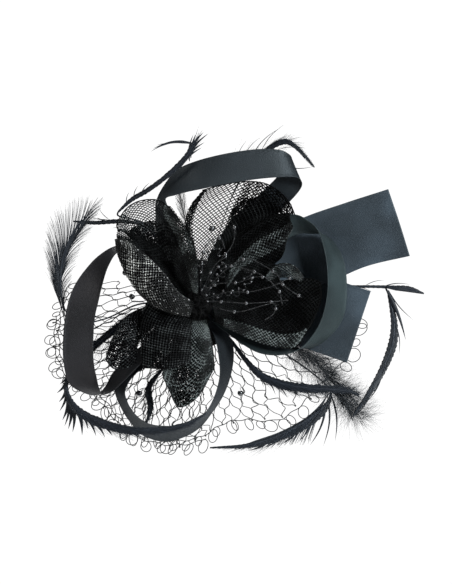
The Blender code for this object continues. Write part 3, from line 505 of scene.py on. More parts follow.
def ribbon(node, rows, look, slot, held="folded", stations=260, pinch=0.3, wave=0.05, wide=1):
    """A satin ribbon through rows of (x, z, depth) points, gathered a little at its feet and rippled."""
    sheet = Sheet(node, rows, SATIN_HALF, along=261)
    s = np.linspace(0, 1, stations)
    shares, halves = ribbon_profile(wide)
    points, normals = sheet.read(s[:, None], shares[None, :])
    seed = zlib.crc32(node.encode()) % 97
    foot = np.exp(-s / GATHER_REACH) + np.exp(-(1 - s) / GATHER_REACH) * (held != "laid")
    across = shares[None, :] - 0.5
    short, long = (s[:, None] * sheet.length / MM / ripple for ripple in RIPPLES)
    lift = pinch * foot[:, None] * np.sin(across * 2 * math.pi * (2 + wide) + seed)
    lift = lift + wave * np.sin(short + seed + 2.2 * across) * (0.4 + np.abs(across))
    lift = lift + wave * 0.7 * np.sin(long + 2 * seed - 3.0 * across)
    points = points + normals * (lift * MM)[..., None]
    rise = normals * (halves * MM)[None, :, None]
    rings = np.concatenate([points + rise, (points - rise)[:, ::-1]], axis=1)
    cloth = np.empty(rings.shape)
    cloth[..., 0] = s[:, None] * sheet.length
    cloth[..., 1] = np.concatenate([shares, shares[::-1]])[None, :] * sheet.mean_width
    cloth[..., 2] = 0.5
    shape = Shape()
    shape.rings(rings, cloth)
    made = piece(f"{node}_ribbon", shape, look, slot, node)


LOOP_TOP = [
    [(-7.8, 9.6, 19), (-0.5, 12.4, 20)],
    [(-20, 28, 17), (-6, 32, 21)],
    [(-28, 48, 15), (-13, 50, 26)],
    [(-28.5, 60, 15), (-18, 61, 30)],
    [(-28, 69, 16), (-21.5, 70, 34.5)],
    [(-23, 79, 22), (-15, 72.5, 36.5)],
    [(-14, 89.5, 28), (-7, 74.5, 38)],
    [(0, 95.5, 35), (3, 76.5, 39)],
    [(20, 100.3, 38), (20, 80, 39.5)],
    [(40, 103, 38.5), (40, 83, 39.5)],
    [(54, 102.6, 37), (57, 84.4, 38.5)],
    [(60.5, 100, 33), (66, 84.2, 34.5)],
    [(62.5, 97, 28), (69.5, 80.5, 30)],
    [(60, 94, 24), (68, 76, 26)],
    [(52, 84, 21), (62, 69, 23)],
    [(40, 72.5, 19.5), (51, 58.5, 20)],
    [(24, 58, 18), (36, 44, 18.5)],
    [(8, 34, 17), (22, 24, 17)],
    [(3, 12.5, 16.5), (10.5, 8.5, 16.5)],
]
LOOP_LEFT = [
    [(-6.5, 11.5, 14.5), (-11.5, 5.5, 14.5)],
    [(-20, 25, 15.5), (-27, 14, 15.5)],
    [(-36, 37, 13.5), (-41, 26, 20)],
    [(-47, 41, 10.5), (-48, 34, 25.5)],
    [(-54, 39.5, 10), (-54.5, 34, 27)],
    [(-62, 36, 12), (-60, 25, 28)],
    [(-72, 27.5, 15), (-63.5, 14, 27)],
    [(-83, 12, 18.5), (-66.5, 1.5, 25)],
    [(-88.5, -6, 21), (-69, -10, 24)],
    [(-90.5, -28, 22), (-70, -27, 23.5)],
    [(-89.5, -43, 20.5), (-69.5, -40, 24.5)],
    [(-86, -54, 17), (-67.5, -49.5, 27)],
    [(-76, -60, 13), (-65.8, -56.5, 30)],
    [(-68, -61, 11.5), (-63, -60.3, 31)],
    [(-62, -55, 13), (-56.5, -58, 31)],
    [(-57, -46, 14.5), (-48, -50, 30)],
    [(-45, -34, 14.5), (-36, -38, 26)],
    [(-28, -20, 14), (-21, -25, 20)],
    [(-13, -7.5, 13.5), (-9, -13, 14.5)],
]
LOOP_RIGHT = [
    [(5, 12.5, 19.5), (11, 7.5, 19)],
    [(18, 32, 22.5), (30, 20, 21)],
    [(36, 48, 27), (46, 33, 22)],
    [(52, 57.5, 32), (58, 42.5, 22.5)],
    [(65, 59.5, 36), (68, 47, 22)],
    [(74, 55, 38), (77, 47, 20.5)],
    [(80, 48.8, 38.5), (84, 46.5, 20.5)],
    [(83.5, 38.5, 38), (92, 40, 20.5)],
    [(86, 25, 37), (98, 27.5, 22)],
    [(86.3, 9, 36.5), (99.8, 9.5, 22)],
    [(84, -5, 36.5), (98, -6.5, 22.5)],
    [(79.5, -16, 37), (91.5, -18.5, 21.5)],
    [(72.5, -25.5, 38), (80, -28, 20)],
    [(65.5, -31, 38.5), (68, -30, 19)],
    [(55, -34, 37.5), (57, -27, 19.3)],
    [(42, -33, 34), (46, -24, 18)],
    [(30, -27, 28), (34, -17, 17.5)],
    [(9.5, -12, 17), (14, -7, 16.5)],
]
LOOP_BOTTOM = [
    [(10, -9.5, 13), (4.5, -12.5, 13)],
    [(21, -22, 11.5), (11, -22, 22)],
    [(24, -33, 10.3), (14, -36, 26.5)],
    [(22, -48, 10.3), (14.5, -49, 28)],
    [(17, -61.5, 10.3), (10.8, -62.5, 28.5)],
    [(10, -72.5, 10.3), (5, -72.5, 28.8)],
    [(1, -83.5, 10.3), (-2, -76.5, 28.5)],
    [(-11, -90.3, 10.3), (-11, -80.5, 27.5)],
    [(-24, -92.6, 10.3), (-23, -81.5, 26.8)],
    [(-37, -88.5, 10.3), (-34, -79.5, 27)],
    [(-47, -78, 10.3), (-42.5, -73, 28)],
    [(-53.5, -66.5, 10.3), (-47.5, -64.5, 28.5)],
    [(-56, -57, 10.3), (-48.5, -57, 27)],
    [(-52, -46, 10.3), (-43, -48, 19)],
    [(-42, -33, 10.5), (-31, -38, 13)],
    [(-25, -17, 11), (-18, -23, 11.8)],
    [(-12, -5.5, 11.3), (-8, -10.5, 11.3)],
]
TAIL_UPPER = [
    [(7, 9, 13.4), (9.5, 4.5, 13.4), (10.5, 0, 13.4)],
    [(30, 40, 14), (36, 19, 13.8), (40, 0, 13.8)],
    [(70, 57.7, 15.5), (77, 34.5, 15), (84, 13, 15)],
    [(98, 67.5, 17), (106, 46, 18), (113, 25, 17)],
    [(127.5, 77, 20), (135, 54.5, 21), (142, 32, 20)],
]
TAIL_LOWER = [
    [(9, 4, 10.4), (10, 0, 10.4), (9, -4, 10.4)],
    [(34, 27, 11), (35, 8, 10.8), (30, -12, 10.8)],
    [(58, 25.5, 12), (54, 3, 11.5), (47, -20, 11.5)],
    [(84, 19, 13.3), (78, -5, 13), (70, -29, 13)],
    [(116, 8.5, 15.5), (108, -15.5, 15), (100, -39.5, 15.5)],
]


def make_ribbons():
    dark = satin("satin_dark", (0.003, 0.004, 0.005), (0.009, 0.011, 0.013), (0.86, 0.95, 1.0))
    plain = satin("satin_plain", (0.002, 0.002, 0.002), (0.008, 0.0076, 0.0084), (0.97, 0.95, 1.0))
    green = satin("satin_greenish", (0.004, 0.006, 0.0065), (0.017, 0.025, 0.026), (0.86, 0.97, 1.0))
    night = satin("satin_night", (0.003, 0.0035, 0.004), (0.009, 0.011, 0.014), (0.84, 0.93, 1.0))
    blue = satin("satin_bluish", (0.005, 0.007, 0.009), (0.028, 0.038, 0.048), (0.84, 0.93, 1.0))
    ribbon("loop_top", LOOP_TOP, dark, "satin_black")
    ribbon("loop_left", LOOP_LEFT, plain, "satin_black")
    ribbon("loop_right", LOOP_RIGHT, green, "satin_green")
    ribbon("loop_bottom", LOOP_BOTTOM, night, "satin_black")
    tail = {"held": "laid", "wave": 0.14, "wide": 3}
    ribbon("tail_upper", TAIL_UPPER, blue, "satin_blue", stations=160, pinch=0.7, **tail)
    ribbon("tail_lower", TAIL_LOWER, blue, "satin_blue", stations=140, pinch=0.6, **tail)


# ------------------------------------------------------------------ petals

# The spacing of the threads, and half a thread's width and height
OUTER = (1.9 * MM, (0.31 * MM, 0.28 * MM))
LINING = (1.45 * MM, (0.32 * MM, 0.15 * MM))
# How far a thread rises and dips as it passes over and under
THREAD_LIFT = 0.14 * MM
# A woven band narrower than this is a hem on its petal, not a sheet of its own
NARROWEST_CLOTH = 10.0 * MM
RIM_CORD = 0.42 * MM
# In millimetres: how far the linings lie behind the weave, and a folded band before it
FIRST_LINING = 0.35
NEXT_LINING = 0.3
BAND_LIFT = 0.6
# Each lining of a gusset lies this many millimetres further back and is turned this many radians further
GUSSET_STEP = 0.3
GUSSET_ANGLE = 0.8
# How far a thread wanders, as a share of the pitch, and the least brightness it may have
WANDER = 0.03
DULLEST = 0.55
# Shares (start, end) of a petal's length and then of its width
WHOLE = (0, 1, 0, 1)


def flat_threads(length, width, angle, pitch):
    """Straight threads over a rectangle, at an angle to its length: (number, along it, across it, run)."""
    along = np.array([math.cos(angle), math.sin(angle)])
    across = np.array([-math.sin(angle), math.cos(angle)])
    reach = (abs(across[0]) * length + abs(across[1]) * width) / 2
    for k in range(-int(reach / pitch), int(reach / pitch) + 1):
        low, high = -1e9, 1e9
        for axis, size in ((0, length), (1, width)):
            start = across[axis] * k * pitch
            if abs(along[axis]) < 1e-6:
                if abs(start) > size / 2:
                    low, high = 1, 0
                continue
            ends = sorted(((-size / 2 - start) / along[axis], (size / 2 - start) / along[axis]))
            low, high = max(low, ends[0]), min(high, ends[1])
        if high - low > pitch:
            run = np.arange(math.ceil(low / pitch), math.floor(high / pitch) + 1) * pitch
            run = np.unique(np.concatenate([[low], run, [high]]))
            yield k, run * along[0] + k * pitch * across[0], run * along[1] + k * pitch * across[1], run


def weave(shape, sheet, rng, angle, lift, part, threads, painted_light_stretch=None):
    """Threads over and under each other across part of a sheet, with the crests on the side to the viewer
    painted lighter as highlights. The last argument, if given, is the middle and reach of a stretch of the
    length painted lighter, the rest painted darker.
    """
    s0, s1, t0, t1 = part
    width, length = sheet.flat(part)
    facing = sheet.facing()
    pitch, (wide, high) = threads
    for turn in (0, 1):
        for k, x, y, run in flat_threads(length, width, angle + turn * math.pi / 2, pitch):
            s = s0 + (x / length + 0.5) * (s1 - s0)
            t = t0 + (y / width + 0.5) * (t1 - t0)
            wander = rng.normal(0, WANDER) * pitch / sheet.width
            points, normals = sheet.read(s, np.clip(t + wander, 0, 1))
            over = np.cos(math.pi * (run / pitch + k + turn))
            points = points + normals * (over * THREAD_LIFT + lift)[:, None]
            # Painted highlight: where a thread passes over on the side to the viewer, it is made lighter.
            shade = (0.5 + 0.5 * over * facing) * rng.uniform(DULLEST, 1.0)
            # Painted light: lighter along the given stretch and darker away from it.
            if painted_light_stretch:
                shade = shade * (0.3 + 0.7 * np.exp(-(((s - painted_light_stretch[0]) / painted_light_stretch[1]) ** 2)))
            size = wide * rng.uniform(0.9, 1.15), high * rng.uniform(0.95, 1.1)
            shape.tube(points, *size, 6, normals, shade)


def edge_cord(sheet, rng):
    """The rolled edge down both sides of a petal and round its tip."""
    shape, s, t = Shape(), np.linspace(0, 1, 70), np.linspace(0, 1, 60)
    edges = [(s, np.full_like(s, 0.003)), (s, np.full_like(s, 0.997)), (np.full_like(t, 0.997), t)]
    for along, across in edges:
        points, normals = sheet.read(along, across)
        shape.tube(points, RIM_CORD * rng.uniform(0.85, 1.1, len(along)), None, 7, normals, 0.3)
    return shape


def cloth_layer(name, sheet, rng, look, angle, lift, part, threads, nodes=(), painted_light_stretch=None):
    """One woven layer: a sheet, or a hem, which is returned. Its cut is the rectangle it is woven over."""
    shape = Shape()
    weave(shape, sheet, rng, angle, lift, part, threads, painted_light_stretch)
    made = piece(name, shape, look, "sinamay", *nodes)
    flat = sheet.flat(part)
    is_hem = min(flat) < NARROWEST_CLOTH
    return [made] if is_hem else []


def petal(node, rows, look, lining, angle=45, linings=(WHOLE,), bands=(), turn=0.3, painted_light_stretch=None):
    """A sinamay petal: an outer weave over linings painted dark as in shade, bands folded to its front, and
    a rolled rim.
    """
    rng = random_of(node)
    sheet = Sheet(node, rows, SINAMAY_HALF, along=141)
    tilt, facing = math.radians(angle), sheet.facing()
    on_it = [piece(f"{node}_rim", edge_cord(sheet, rng), look, "sinamay")]
    for k, part in enumerate(linings, start=1):
        lift = -(FIRST_LINING + NEXT_LINING * k) * MM * facing
        on_it += cloth_layer(f"{node}_lining_{k}", sheet, rng, lining, tilt + turn * k, lift, part, LINING)
    for k, (part, finish) in enumerate(bands, start=1):
        lift = BAND_LIFT * MM * facing
        on_it += cloth_layer(f"{node}_band_{k}", sheet, rng, finish, tilt, lift, part, OUTER)
    cloth_layer(f"{node}_weave", sheet, rng, look, tilt, 0.0, WHOLE, OUTER, (node,), painted_light_stretch)


def gusset(name, rows, look, lining, parts):
    """Cloth that closes the space between two petals, a dark sheet that also stands in for the shade between
    them. It belongs to them and isn't in the CAD model.
    """
    rng = random_of(name)
    sheet = Sheet(None, rows, SINAMAY_HALF, along=141)
    for k, part in enumerate(parts, start=1):
        lift = -GUSSET_STEP * k * MM * sheet.facing()
        cloth_layer(f"{name}_lining_{k}", sheet, rng, lining, GUSSET_STEP * k, lift, part, LINING)
    cloth_layer(f"{name}_weave", sheet, rng, look, GUSSET_ANGLE, 0.0, WHOLE, OUTER)


PETAL_LEFT_ROLL = [
    [(-5, -5, 27), (-6, -8.5, 31), (-4, -4, 35.5), (-3, 1, 33)],
    [(-20, -1, 27), (-21, -5, 33), (-17, 4, 40), (-13, 8, 37)],
    [(-33, 7, 28), (-36, 4, 34), (-29, 14, 42.5), (-22, 20, 39)],
    [(-43, 20, 30), (-46, 17, 35), (-37, 25, 43.5), (-31, 29.5, 40)],
    [(-49, 34, 30), (-53, 32, 35), (-45, 36, 42), (-40, 37, 39)],
    [(-52, 43, 31), (-55, 43, 35.5), (-52, 43.5, 39.5), (-48, 42.5, 38)],
]
PETAL_UPPER_LEFT = [
    [(-53, 48.5, 37), (-49, 48, 33), (-45, 44, 28.5), (-41, 39.5, 26)],
    [(-53.5, 54, 39), (-48, 55, 33), (-41, 47, 28), (-36.5, 36, 25)],
    [(-47, 64, 40), (-42, 60, 34), (-36, 48, 28), (-31.5, 32, 24)],
    [(-37, 69, 41), (-34, 63, 34), (-30, 49, 28), (-27, 28, 23.5)],
    [(-24, 68.3, 43), (-24, 62, 36.5), (-23, 46, 29), (-23, 23, 23.5)],
    [(-13, 57, 46), (-16, 52, 39), (-18, 38, 29.5), (-19.5, 19, 23.5)],
    [(-4, 42, 47), (-10, 38, 40), (-14, 27, 30), (-15.5, 14, 24)],
    [(0, 24, 45), (-5, 22, 39), (-10, 15, 30), (-12, 10, 24.5)],
    [(0.5, 7, 38), (-2, 8, 34), (-6, 7, 29), (-8, 5.5, 25.5)],
]
# The floor of the cup behind the left roll, a dark sheet that partly stands in for the shade in the cup
PETAL_CUP = [
    [(-53.5, 43, 36), (-54, 46, 36.5), (-53, 50, 37)],
    [(-46, 41, 37), (-47, 45.5, 33), (-47, 49.5, 31)],
    [(-38, 35, 37), (-39.5, 41, 30), (-39.5, 46, 28.2)],
    [(-30, 28, 37), (-31, 35, 27.5), (-31, 42, 27.5)],
    [(-21, 19, 36), (-22, 27, 26), (-23, 35, 26.3)],
    [(-13, 9, 34), (-14, 15, 25.3), (-17, 24, 26)],
    [(-5, 2, 31), (-7, 6, 26), (-10, 12, 26)],
]
# The floor of the flower's heart, behind the stamens at the right, a dark sheet that partly stands in for
# the shade there
PETAL_HEART = [
    [(7, 2, 27), (7, 9, 27), (6, 16, 28)],
    [(22, 4, 26.3), (22, 14, 27.5), (24, 26, 29)],
    [(38, 9, 27), (37, 19, 29), (38, 29, 31.5)],
    [(48, 13, 28.5), (46.5, 21, 30.5), (47, 28.5, 33)],
    [(55, 15, 30), (54, 20, 32), (53.5, 25, 34)],
]
PETAL_TOP = [
    [(0, 15, 25.5), (-5.5, 36, 31), (-8.5, 52, 35), (-4.5, 65, 36.5), (3, 76, 34)],
    [(3, 15, 25), (4, 38, 27), (5, 55, 29.5), (8, 69, 31.5), (14, 79, 32)],
    [(6, 15, 25), (14, 40, 25.5), (20, 57, 26.5), (26, 71, 28.5), (31, 82, 30.5)],
    [(9, 14.5, 25.3), (23, 41, 25.5), (35, 56.5, 26), (43, 69, 27), (47, 80, 29.5)],
    [(10.5, 13.5, 26), (26, 43, 27), (43, 57, 28), (55, 64, 29), (60, 70, 31)],
    [(12, 13, 26.5), (28, 42, 28), (46, 55, 29), (58, 59, 29.5), (66, 58, 30)],
]
PETAL_RIGHT_UPPER = [
    [(14, 18, 29), (15, 15.5, 29.5), (17, 13, 30.5), (18, 11.5, 31.5), (18, 10, 30.5), (18.5, 8, 29.5)],
    [(22, 38, 31), (26, 34, 31), (28, 30, 33.5), (29, 28, 35), (29.5, 25, 33), (31, 18, 30)],
    [(36, 50, 34), (39, 46, 32.5), (41, 41, 37.5), (43, 38, 40), (43.5, 33, 37), (45.5, 24, 31.5)],
    [(50, 58.5, 37), (51, 53, 36.5), (53, 47.5, 40.5), (55, 45, 43), (55, 40.5, 39.5), (55.5, 31, 33.5)],
    [(61, 60.3, 40), (61, 57, 40), (62, 53.5, 42.5), (63, 51.5, 44), (61.5, 48, 41.5), (59, 42, 37)],
]
PETAL_RIGHT_LOWER = [
    [(9, 0, 26), (10, -4, 27), (11, -7, 29.5), (11.5, -9.5, 30), (11, -11.5, 28.5)],
    [(26, 8, 25), (25, -1, 25.5), (24, -8, 30), (24.5, -12.5, 32), (24, -18, 30)],
    [(44, 14, 25.5), (42, 2, 26), (39, -11, 31), (38.5, -17.5, 34.5), (38, -24.5, 32.5)],
    [(61, 16, 27), (59, 2, 27), (55, -14, 31), (53, -22, 36.5), (52, -28.5, 35.5)],
    [(75, 17, 29.5), (74, 4, 29.5), (70, -12, 32), (65, -22, 37), (62, -29.5, 37.5)],
    [(82, 14, 32), (82, 3, 32.5), (77, -10, 34), (72.5, -18, 37), (68, -26, 38.5)],
]
PETAL_INNER = [
    [(45, 15, 30), (45.5, 18, 36), (46, 20, 40)],
    [(50, 17, 30), (50.5, 21.5, 36), (51, 25, 40.5)],
    [(57, 18, 30), (57.5, 23, 36), (57.5, 27, 41)],
    [(64, 17, 31), (64, 21.5, 36), (64.5, 25, 40.5)],
    [(69, 15, 32), (69.5, 17, 36), (70, 18.5, 39.5)],
]
PETAL_BOTTOM = [
    [(-34, 2, 24.5), (-38, -10, 27), (-38.5, -25, 29), (-37, -42, 30)],
    [(-26, -2, 25), (-31, -12, 30), (-31, -26, 33), (-29.5, -43, 33)],
    [(-17, -5, 25), (-21, -14, 31), (-21.5, -27, 34.5), (-20.5, -43, 35)],
    [(-9, -7.5, 24.5), (-12, -15, 30), (-13, -27, 33), (-12.5, -41, 34)],
    [(-4, -9, 23.5), (-4.5, -16, 27), (-5, -27, 30), (-5, -39, 31)],
]
PETAL_BOTTOM_POINT = [
    [(-7, -10, 20.5), (-14, -24, 24), (-20, -37, 25.5), (-24, -46.5, 26)],
    [(-3, -11, 20.5), (-9, -26, 25.5), (-15, -42, 28), (-19, -58, 28.5)],
    [(0, -11.5, 20.5), (-2, -27, 26), (-7, -45, 29), (-12.5, -69, 29)],
    [(4, -11, 20.5), (4, -26, 25.5), (3, -42, 27.5), (0, -62, 28)],
    [(6, -10, 20.5), (8, -20, 23.5), (10, -31, 25), (11, -43, 25.5)],
]
PETAL_LOWER_LEFT = [
    [(-25, -8, 21.5), (-35, -18, 22.5), (-40, -28, 25), (-41, -40, 28.5)],
    [(-27, -5, 21.5), (-41, -14, 25), (-47, -27, 30), (-48, -43, 33.5)],
    [(-29, -2.5, 21.5), (-46, -11, 24.5), (-53, -25, 30), (-56, -43, 34.5)],
    [(-31, 0, 21.5), (-48, -8.5, 22.5), (-57, -23, 27), (-61.5, -37, 33)],
]


def make_petals():
    # Lit and shaded copies of one black sinamay, painted darker or lighter for how light falls on the petals
    # they are put on: the lining is painted as in shade, and each later copy is painted more lit than the
    # one before.
    dark = sinamay_look("sinamay_lining", (0.0005,) * 3, (0.001,) * 3, 0.8, 0.02)
    black = sinamay_look("sinamay_black", (0.0008,) * 3, (0.013, 0.014, 0.014), 0.71, 0.05)
    painted_dim = sinamay_look("sinamay_painted_dim", (0.001, 0.001, 0.0012), (0.046, 0.050, 0.050), 0.68, 0.07)
    painted_half_lit = sinamay_look("sinamay_painted_half_lit", (0.003, 0.0035, 0.0035), (0.15, 0.17, 0.165), 0.66, 0.14)
    lighter = sinamay_look("sinamay_painted_lit", (0.008, 0.008, 0.0075), (0.62, 0.61, 0.57), 0.62, 0.18)
    thrice, to_the_root = [WHOLE] * 3, [WHOLE, WHOLE, (0, 0.6, 0, 1)]
    # The bands folded to the front take a half-lit copy, painted lighter than the petal under them.
    folded, rolled = [((0.4, 1, 0, 0.28), painted_half_lit)], [((0.04, 1, 0.35, 0.72), painted_half_lit)]
    painted_glints = [((0.1, 1, 0.78, 1), painted_half_lit)]
    lower = (0, 1, 0.45, 1)
    crown = [(0, 0.09, 0.3, 1), (0.5, 1, 0, 1), (0.5, 1, 0, 0.85), (0.62, 1, 0, 0.72), (0, 0.07, 0.3, 0.95)]
    gusset("petal_cup", PETAL_CUP, black, dark, [(0.2, 1, 0, 1), (0.3, 1, 0, 1), (0.4, 1, 0, 1)])
    gusset("petal_heart", PETAL_HEART, black, dark, thrice)
    # The left roll is painted lighter along one stretch of its length and darker towards its root and tip.
    petal("petal_left_roll", PETAL_LEFT_ROLL, lighter, dark, 40, thrice, painted_light_stretch=(0.66, 0.31))
    petal("petal_upper_left", PETAL_UPPER_LEFT, painted_dim, dark, 52, [lower, lower, (0.42, 1, 0, 1)], folded)
    petal("petal_top", PETAL_TOP, black, dark, 38, crown, turn=0.12)
    petal("petal_right_upper", PETAL_RIGHT_UPPER, black, dark, 45, thrice, rolled)
    petal("petal_right_lower", PETAL_RIGHT_LOWER, black, dark, 45, thrice, painted_glints)
    petal("petal_inner", PETAL_INNER, painted_half_lit, dark)
    petal("petal_bottom", PETAL_BOTTOM, painted_dim, dark, 8, thrice)
    petal("petal_bottom_point", PETAL_BOTTOM_POINT, painted_half_lit, dark, 45, to_the_root)
    petal("petal_lower_left", PETAL_LOWER_LEFT, painted_dim, dark, 45, to_the_root)


# ------------------------------------------------------------------ veil

# The net's sweep in degrees, and its reach and depth in millimetres
VEIL_START, VEIL_END = 165.0, 362.0
VEIL_INNER_RADIUS = 9.0
VEIL_REACH = (72, 94, 103, 106, 104, 99, 100, 103, 103, 97, 89, 92, 101, 105, 108, 112, 115, 118)
VEIL_PLEATS = 9
VEIL_DEPTH = 5.3
VEIL_PLEAT_DEPTH = 2.2
# Half the thickness of the net's thread
STRAND = 0.29 * MM
# How far the knots stray, as a share of the space between them
KNOT_STRAY = 0.10


def veil_point(turn, share):
    """A point of the net at shares of its sweep and of its reach, in the row frame."""
    turn, share = np.broadcast_arrays(np.asarray(turn, float), np.asarray(share, float))
    angle = np.radians(VEIL_START + (VEIL_END - VEIL_START) * turn)
    reach = np.interp(turn, np.linspace(0, 1, 64), curve(np.array(VEIL_REACH, float)[:, None], 64)[:, 0])
    radius = VEIL_INNER_RADIUS + (reach - VEIL_INNER_RADIUS) * share
    pleat = np.sin(2 * math.pi * VEIL_PLEATS * turn)
    depth = VEIL_DEPTH + 0.5 * share + VEIL_PLEAT_DEPTH * np.abs(share) ** 1.3 * pleat
    return at(np.stack([radius * np.cos(angle), radius * np.sin(angle), depth], -1))


def net_layer(shape, rng, turns, shares, cells, rows, lift):
    """Knots in staggered rows, and rounded meshes between them."""
    knots = {}
    for j in range(rows + 1):
        share = shares[0] + (shares[1] - shares[0]) * (j / rows)
        for i in range(cells + 1):
            turn = turns[0] + (turns[1] - turns[0]) * (i + 0.5 * (j % 2)) / (cells + 0.5)
            loose = 0.25 + 0.75 * share
            turn += rng.normal(0, KNOT_STRAY) * loose / cells * (turns[1] - turns[0])
            knots[i, j] = (turn, share + rng.normal(0, KNOT_STRAY) * loose / rows)

    def place(turn, share):
        return veil_point(turn, share) + TOWARDS_VIEWER * lift

    for (i, j), (turn, share) in knots.items():
        knot = place(turn, np.array([share - 0.006, share - 0.003, share + 0.003, share + 0.006]))
        shape.tube(knot, np.array([0.5, 2.0, 2.0, 0.5]) * STRAND, None, 6, TOWARDS_VIEWER, rng.random())
        for other in (i, i + (1 if j % 2 else -1)):
            if (other, j + 1) not in knots:
                continue
            turn2, share2 = knots[other, j + 1]
            step = (share2 - share) * 0.22
            stay, bow = (turn2 - turn), rng.normal(0, 0.16) * (turns[1] - turns[0])
            middle = turn + stay * 0.5 + bow / cells
            turn_line = [turn, turn + stay * 0.12, middle, turn2 - stay * 0.12, turn2]
            share_line = [share, share + step, (share + share2) / 2, share2 - step, share2]
            line = curve(place(np.array(turn_line), np.array(share_line)), 11)
            sag = rng.normal(0, 0.35) * MM
            line = line + TOWARDS_VIEWER * (np.sin(np.linspace(0, math.pi, 11)) * sag)[:, None]
            thick = STRAND * rng.uniform(0.85, 1.15)
            shape.tube(line, thick, None, 5, TOWARDS_VIEWER, rng.random())


def net_rim(shape, rng, turns, share, loops):
    """The looped edge: a thread along the net's last row with a round loop on it every few millimetres."""
    start, end = turns

    def wavy(turn):
        return share + 0.012 * np.sin(turn * 37.0) + 0.007 * np.sin(turn * 151.0)

    line = np.linspace(start, end, loops * 6 + 1)
    edge = veil_point(line, wavy(line))
    shape.tube(edge, STRAND * 1.1, None, 5, TOWARDS_VIEWER, 0.4)
    for k in range(loops):
        turn = start + (end - start) * (k + 0.5 + rng.normal(0, 0.2)) / loops
        own = wavy(turn)
        foot = veil_point(turn, own)
        side, away = unit(veil_point(turn + 0.002, own) - foot), unit(veil_point(turn, own + 0.02) - foot)
        radius, squash = rng.uniform(2.2, 4.9) * MM, rng.uniform(0.6, 1.1)
        lean = rng.normal(0, 0.4)
        angle = np.linspace(-math.pi / 2 + 0.12, 1.5 * math.pi - 0.12, 25)[:, None]
        rise = np.sin(angle) + 1
        loop = side * np.cos(angle) * squash + away * rise + side * lean * rise / 2
        points = foot + loop * radius + TOWARDS_VIEWER * rng.normal(0, 0.4) * MM
        shape.tube(points, STRAND, None, 5, TOWARDS_VIEWER, rng.random())


def make_veil():
    look = thread_look("net_thread", (0.006, 0.006, 0.006), (0.03, 0.03, 0.031))
    rng = random_of("veil")
    shape = Shape()
    net_layer(shape, rng, (0.0, 1.0), (0.0, 0.92), 30, 10, 0.0)
    net_layer(shape, rng, (0.10, 0.55), (0.2, 0.95), 17, 9, 0.9 * MM)
    net_rim(shape, rng, (0.0, 1.0), 0.92, 44)
    net_rim(shape, rng, (0.10, 0.55), 0.95, 17)
    piece("veil_net_threads", shape, look, "net", "veil_net")


# ------------------------------------------------------------------ feathers


# Stations along a feather, and along the marabou's shaft, whose first ones are bare
STATIONS = 160
TUFT_STATIONS = 60
TUFT_BARE = 17
# The least half-width of the CAD vanes, in millimetres
VANE_LEAST = 0.3
# How far a barb's lean eases by its tip, and how far round its root the down starts, in millimetres
BARB_EASE = 0.3
DOWN_SCATTER = 2.0


def fitted_route(node, rows, count):
    """A feather's centreline and half-widths, placed by the CAD vane's box."""
    smooth = curve(rows, count)
    centre, widths = smooth[:, :3].copy(), smooth[:, 3:].copy()
    run = np.gradient(centre, axis=0)[:, :2]
    side = unit(np.stack([-run[:, 1], run[:, 0]], -1))
    edges = []
    for k, sign in ((0, 1), (1, -1)):
        edge = centre.copy()
        edge[:, :2] += sign * side * np.maximum(widths[:, k : k + 1], VANE_LEAST)
        edges.append(at(edge))
    line = fitted(node, at(centre), *edges)
    return line, np.maximum(widths, 0.0) * MM


def feather(node, rows, look, shaft=0.5, solid=0.8, gap=0.3, angle=22, scale=0.95, fluff=0.06, least=0.8,
            spikes=(), fans=(), down=(), thin=0.1, vane_end=1.0):
    """A feather: a tapered shaft, a flat vane along it, barbs at its edges, stiff spikes and loose fans."""
    rng = random_of(node)
    line, widths = fitted_route(node, rows, STATIONS)
    lengths = lengths_along(line)
    run = unit(np.gradient(line, axis=0))
    side = unit(np.cross(TOWARDS_VIEWER, run))
    shape = Shape()
    taper = 1.0 - 0.8 * (lengths / lengths[-1]) ** 1.5
    shape.tube(line, shaft * MM * taper, shaft * MM * 0.8 * taper, 8, TOWARDS_VIEWER, 0.8)
    last = int(STATIONS * vane_end)
    if solid:
        left, right = widths[:, 0] * solid, widths[:, 1] * solid
        frayed = 1 + 0.08 * np.sin(lengths / MM * 1.9) + 0.06 * np.sin(lengths / MM * 4.3)
        middle = line + side * ((left - right) / 2)[:, None]
        half = (left + right) / 2 * frayed + 0.05 * MM
        shape.tube(middle[:last], half[:last], 0.09 * MM, 8, TOWARDS_VIEWER, 0.15)
    for place in np.arange(0, lengths[last - 1], gap * MM):
        for k, sign in ((0, 1), (1, -1)):
            width = np.interp(place, lengths, widths[:, k])
            if width < least * MM:
                continue
            i = min(int(np.searchsorted(lengths, place)), STATIONS - 1)
            lean = math.radians(max(angle + rng.normal(0, 4), 0.6 * angle))
            size = width * scale / math.sin(lean) * rng.uniform(0.75, 1.12)
            size = min(size, lengths[-1] - place + 4 * MM)
            barb(shape, rng, line[i], run[i], side[i] * sign, size, lean, fluff, thin)
    for spike in spikes:
        blade(shape, rng, *spike)
    for spread in fans:
        fan(shape, rng, *spread)
    for tuft in down:
        hairs(shape, rng, *tuft)
    piece(f"{node}_barbs", shape, look, "feather", node)


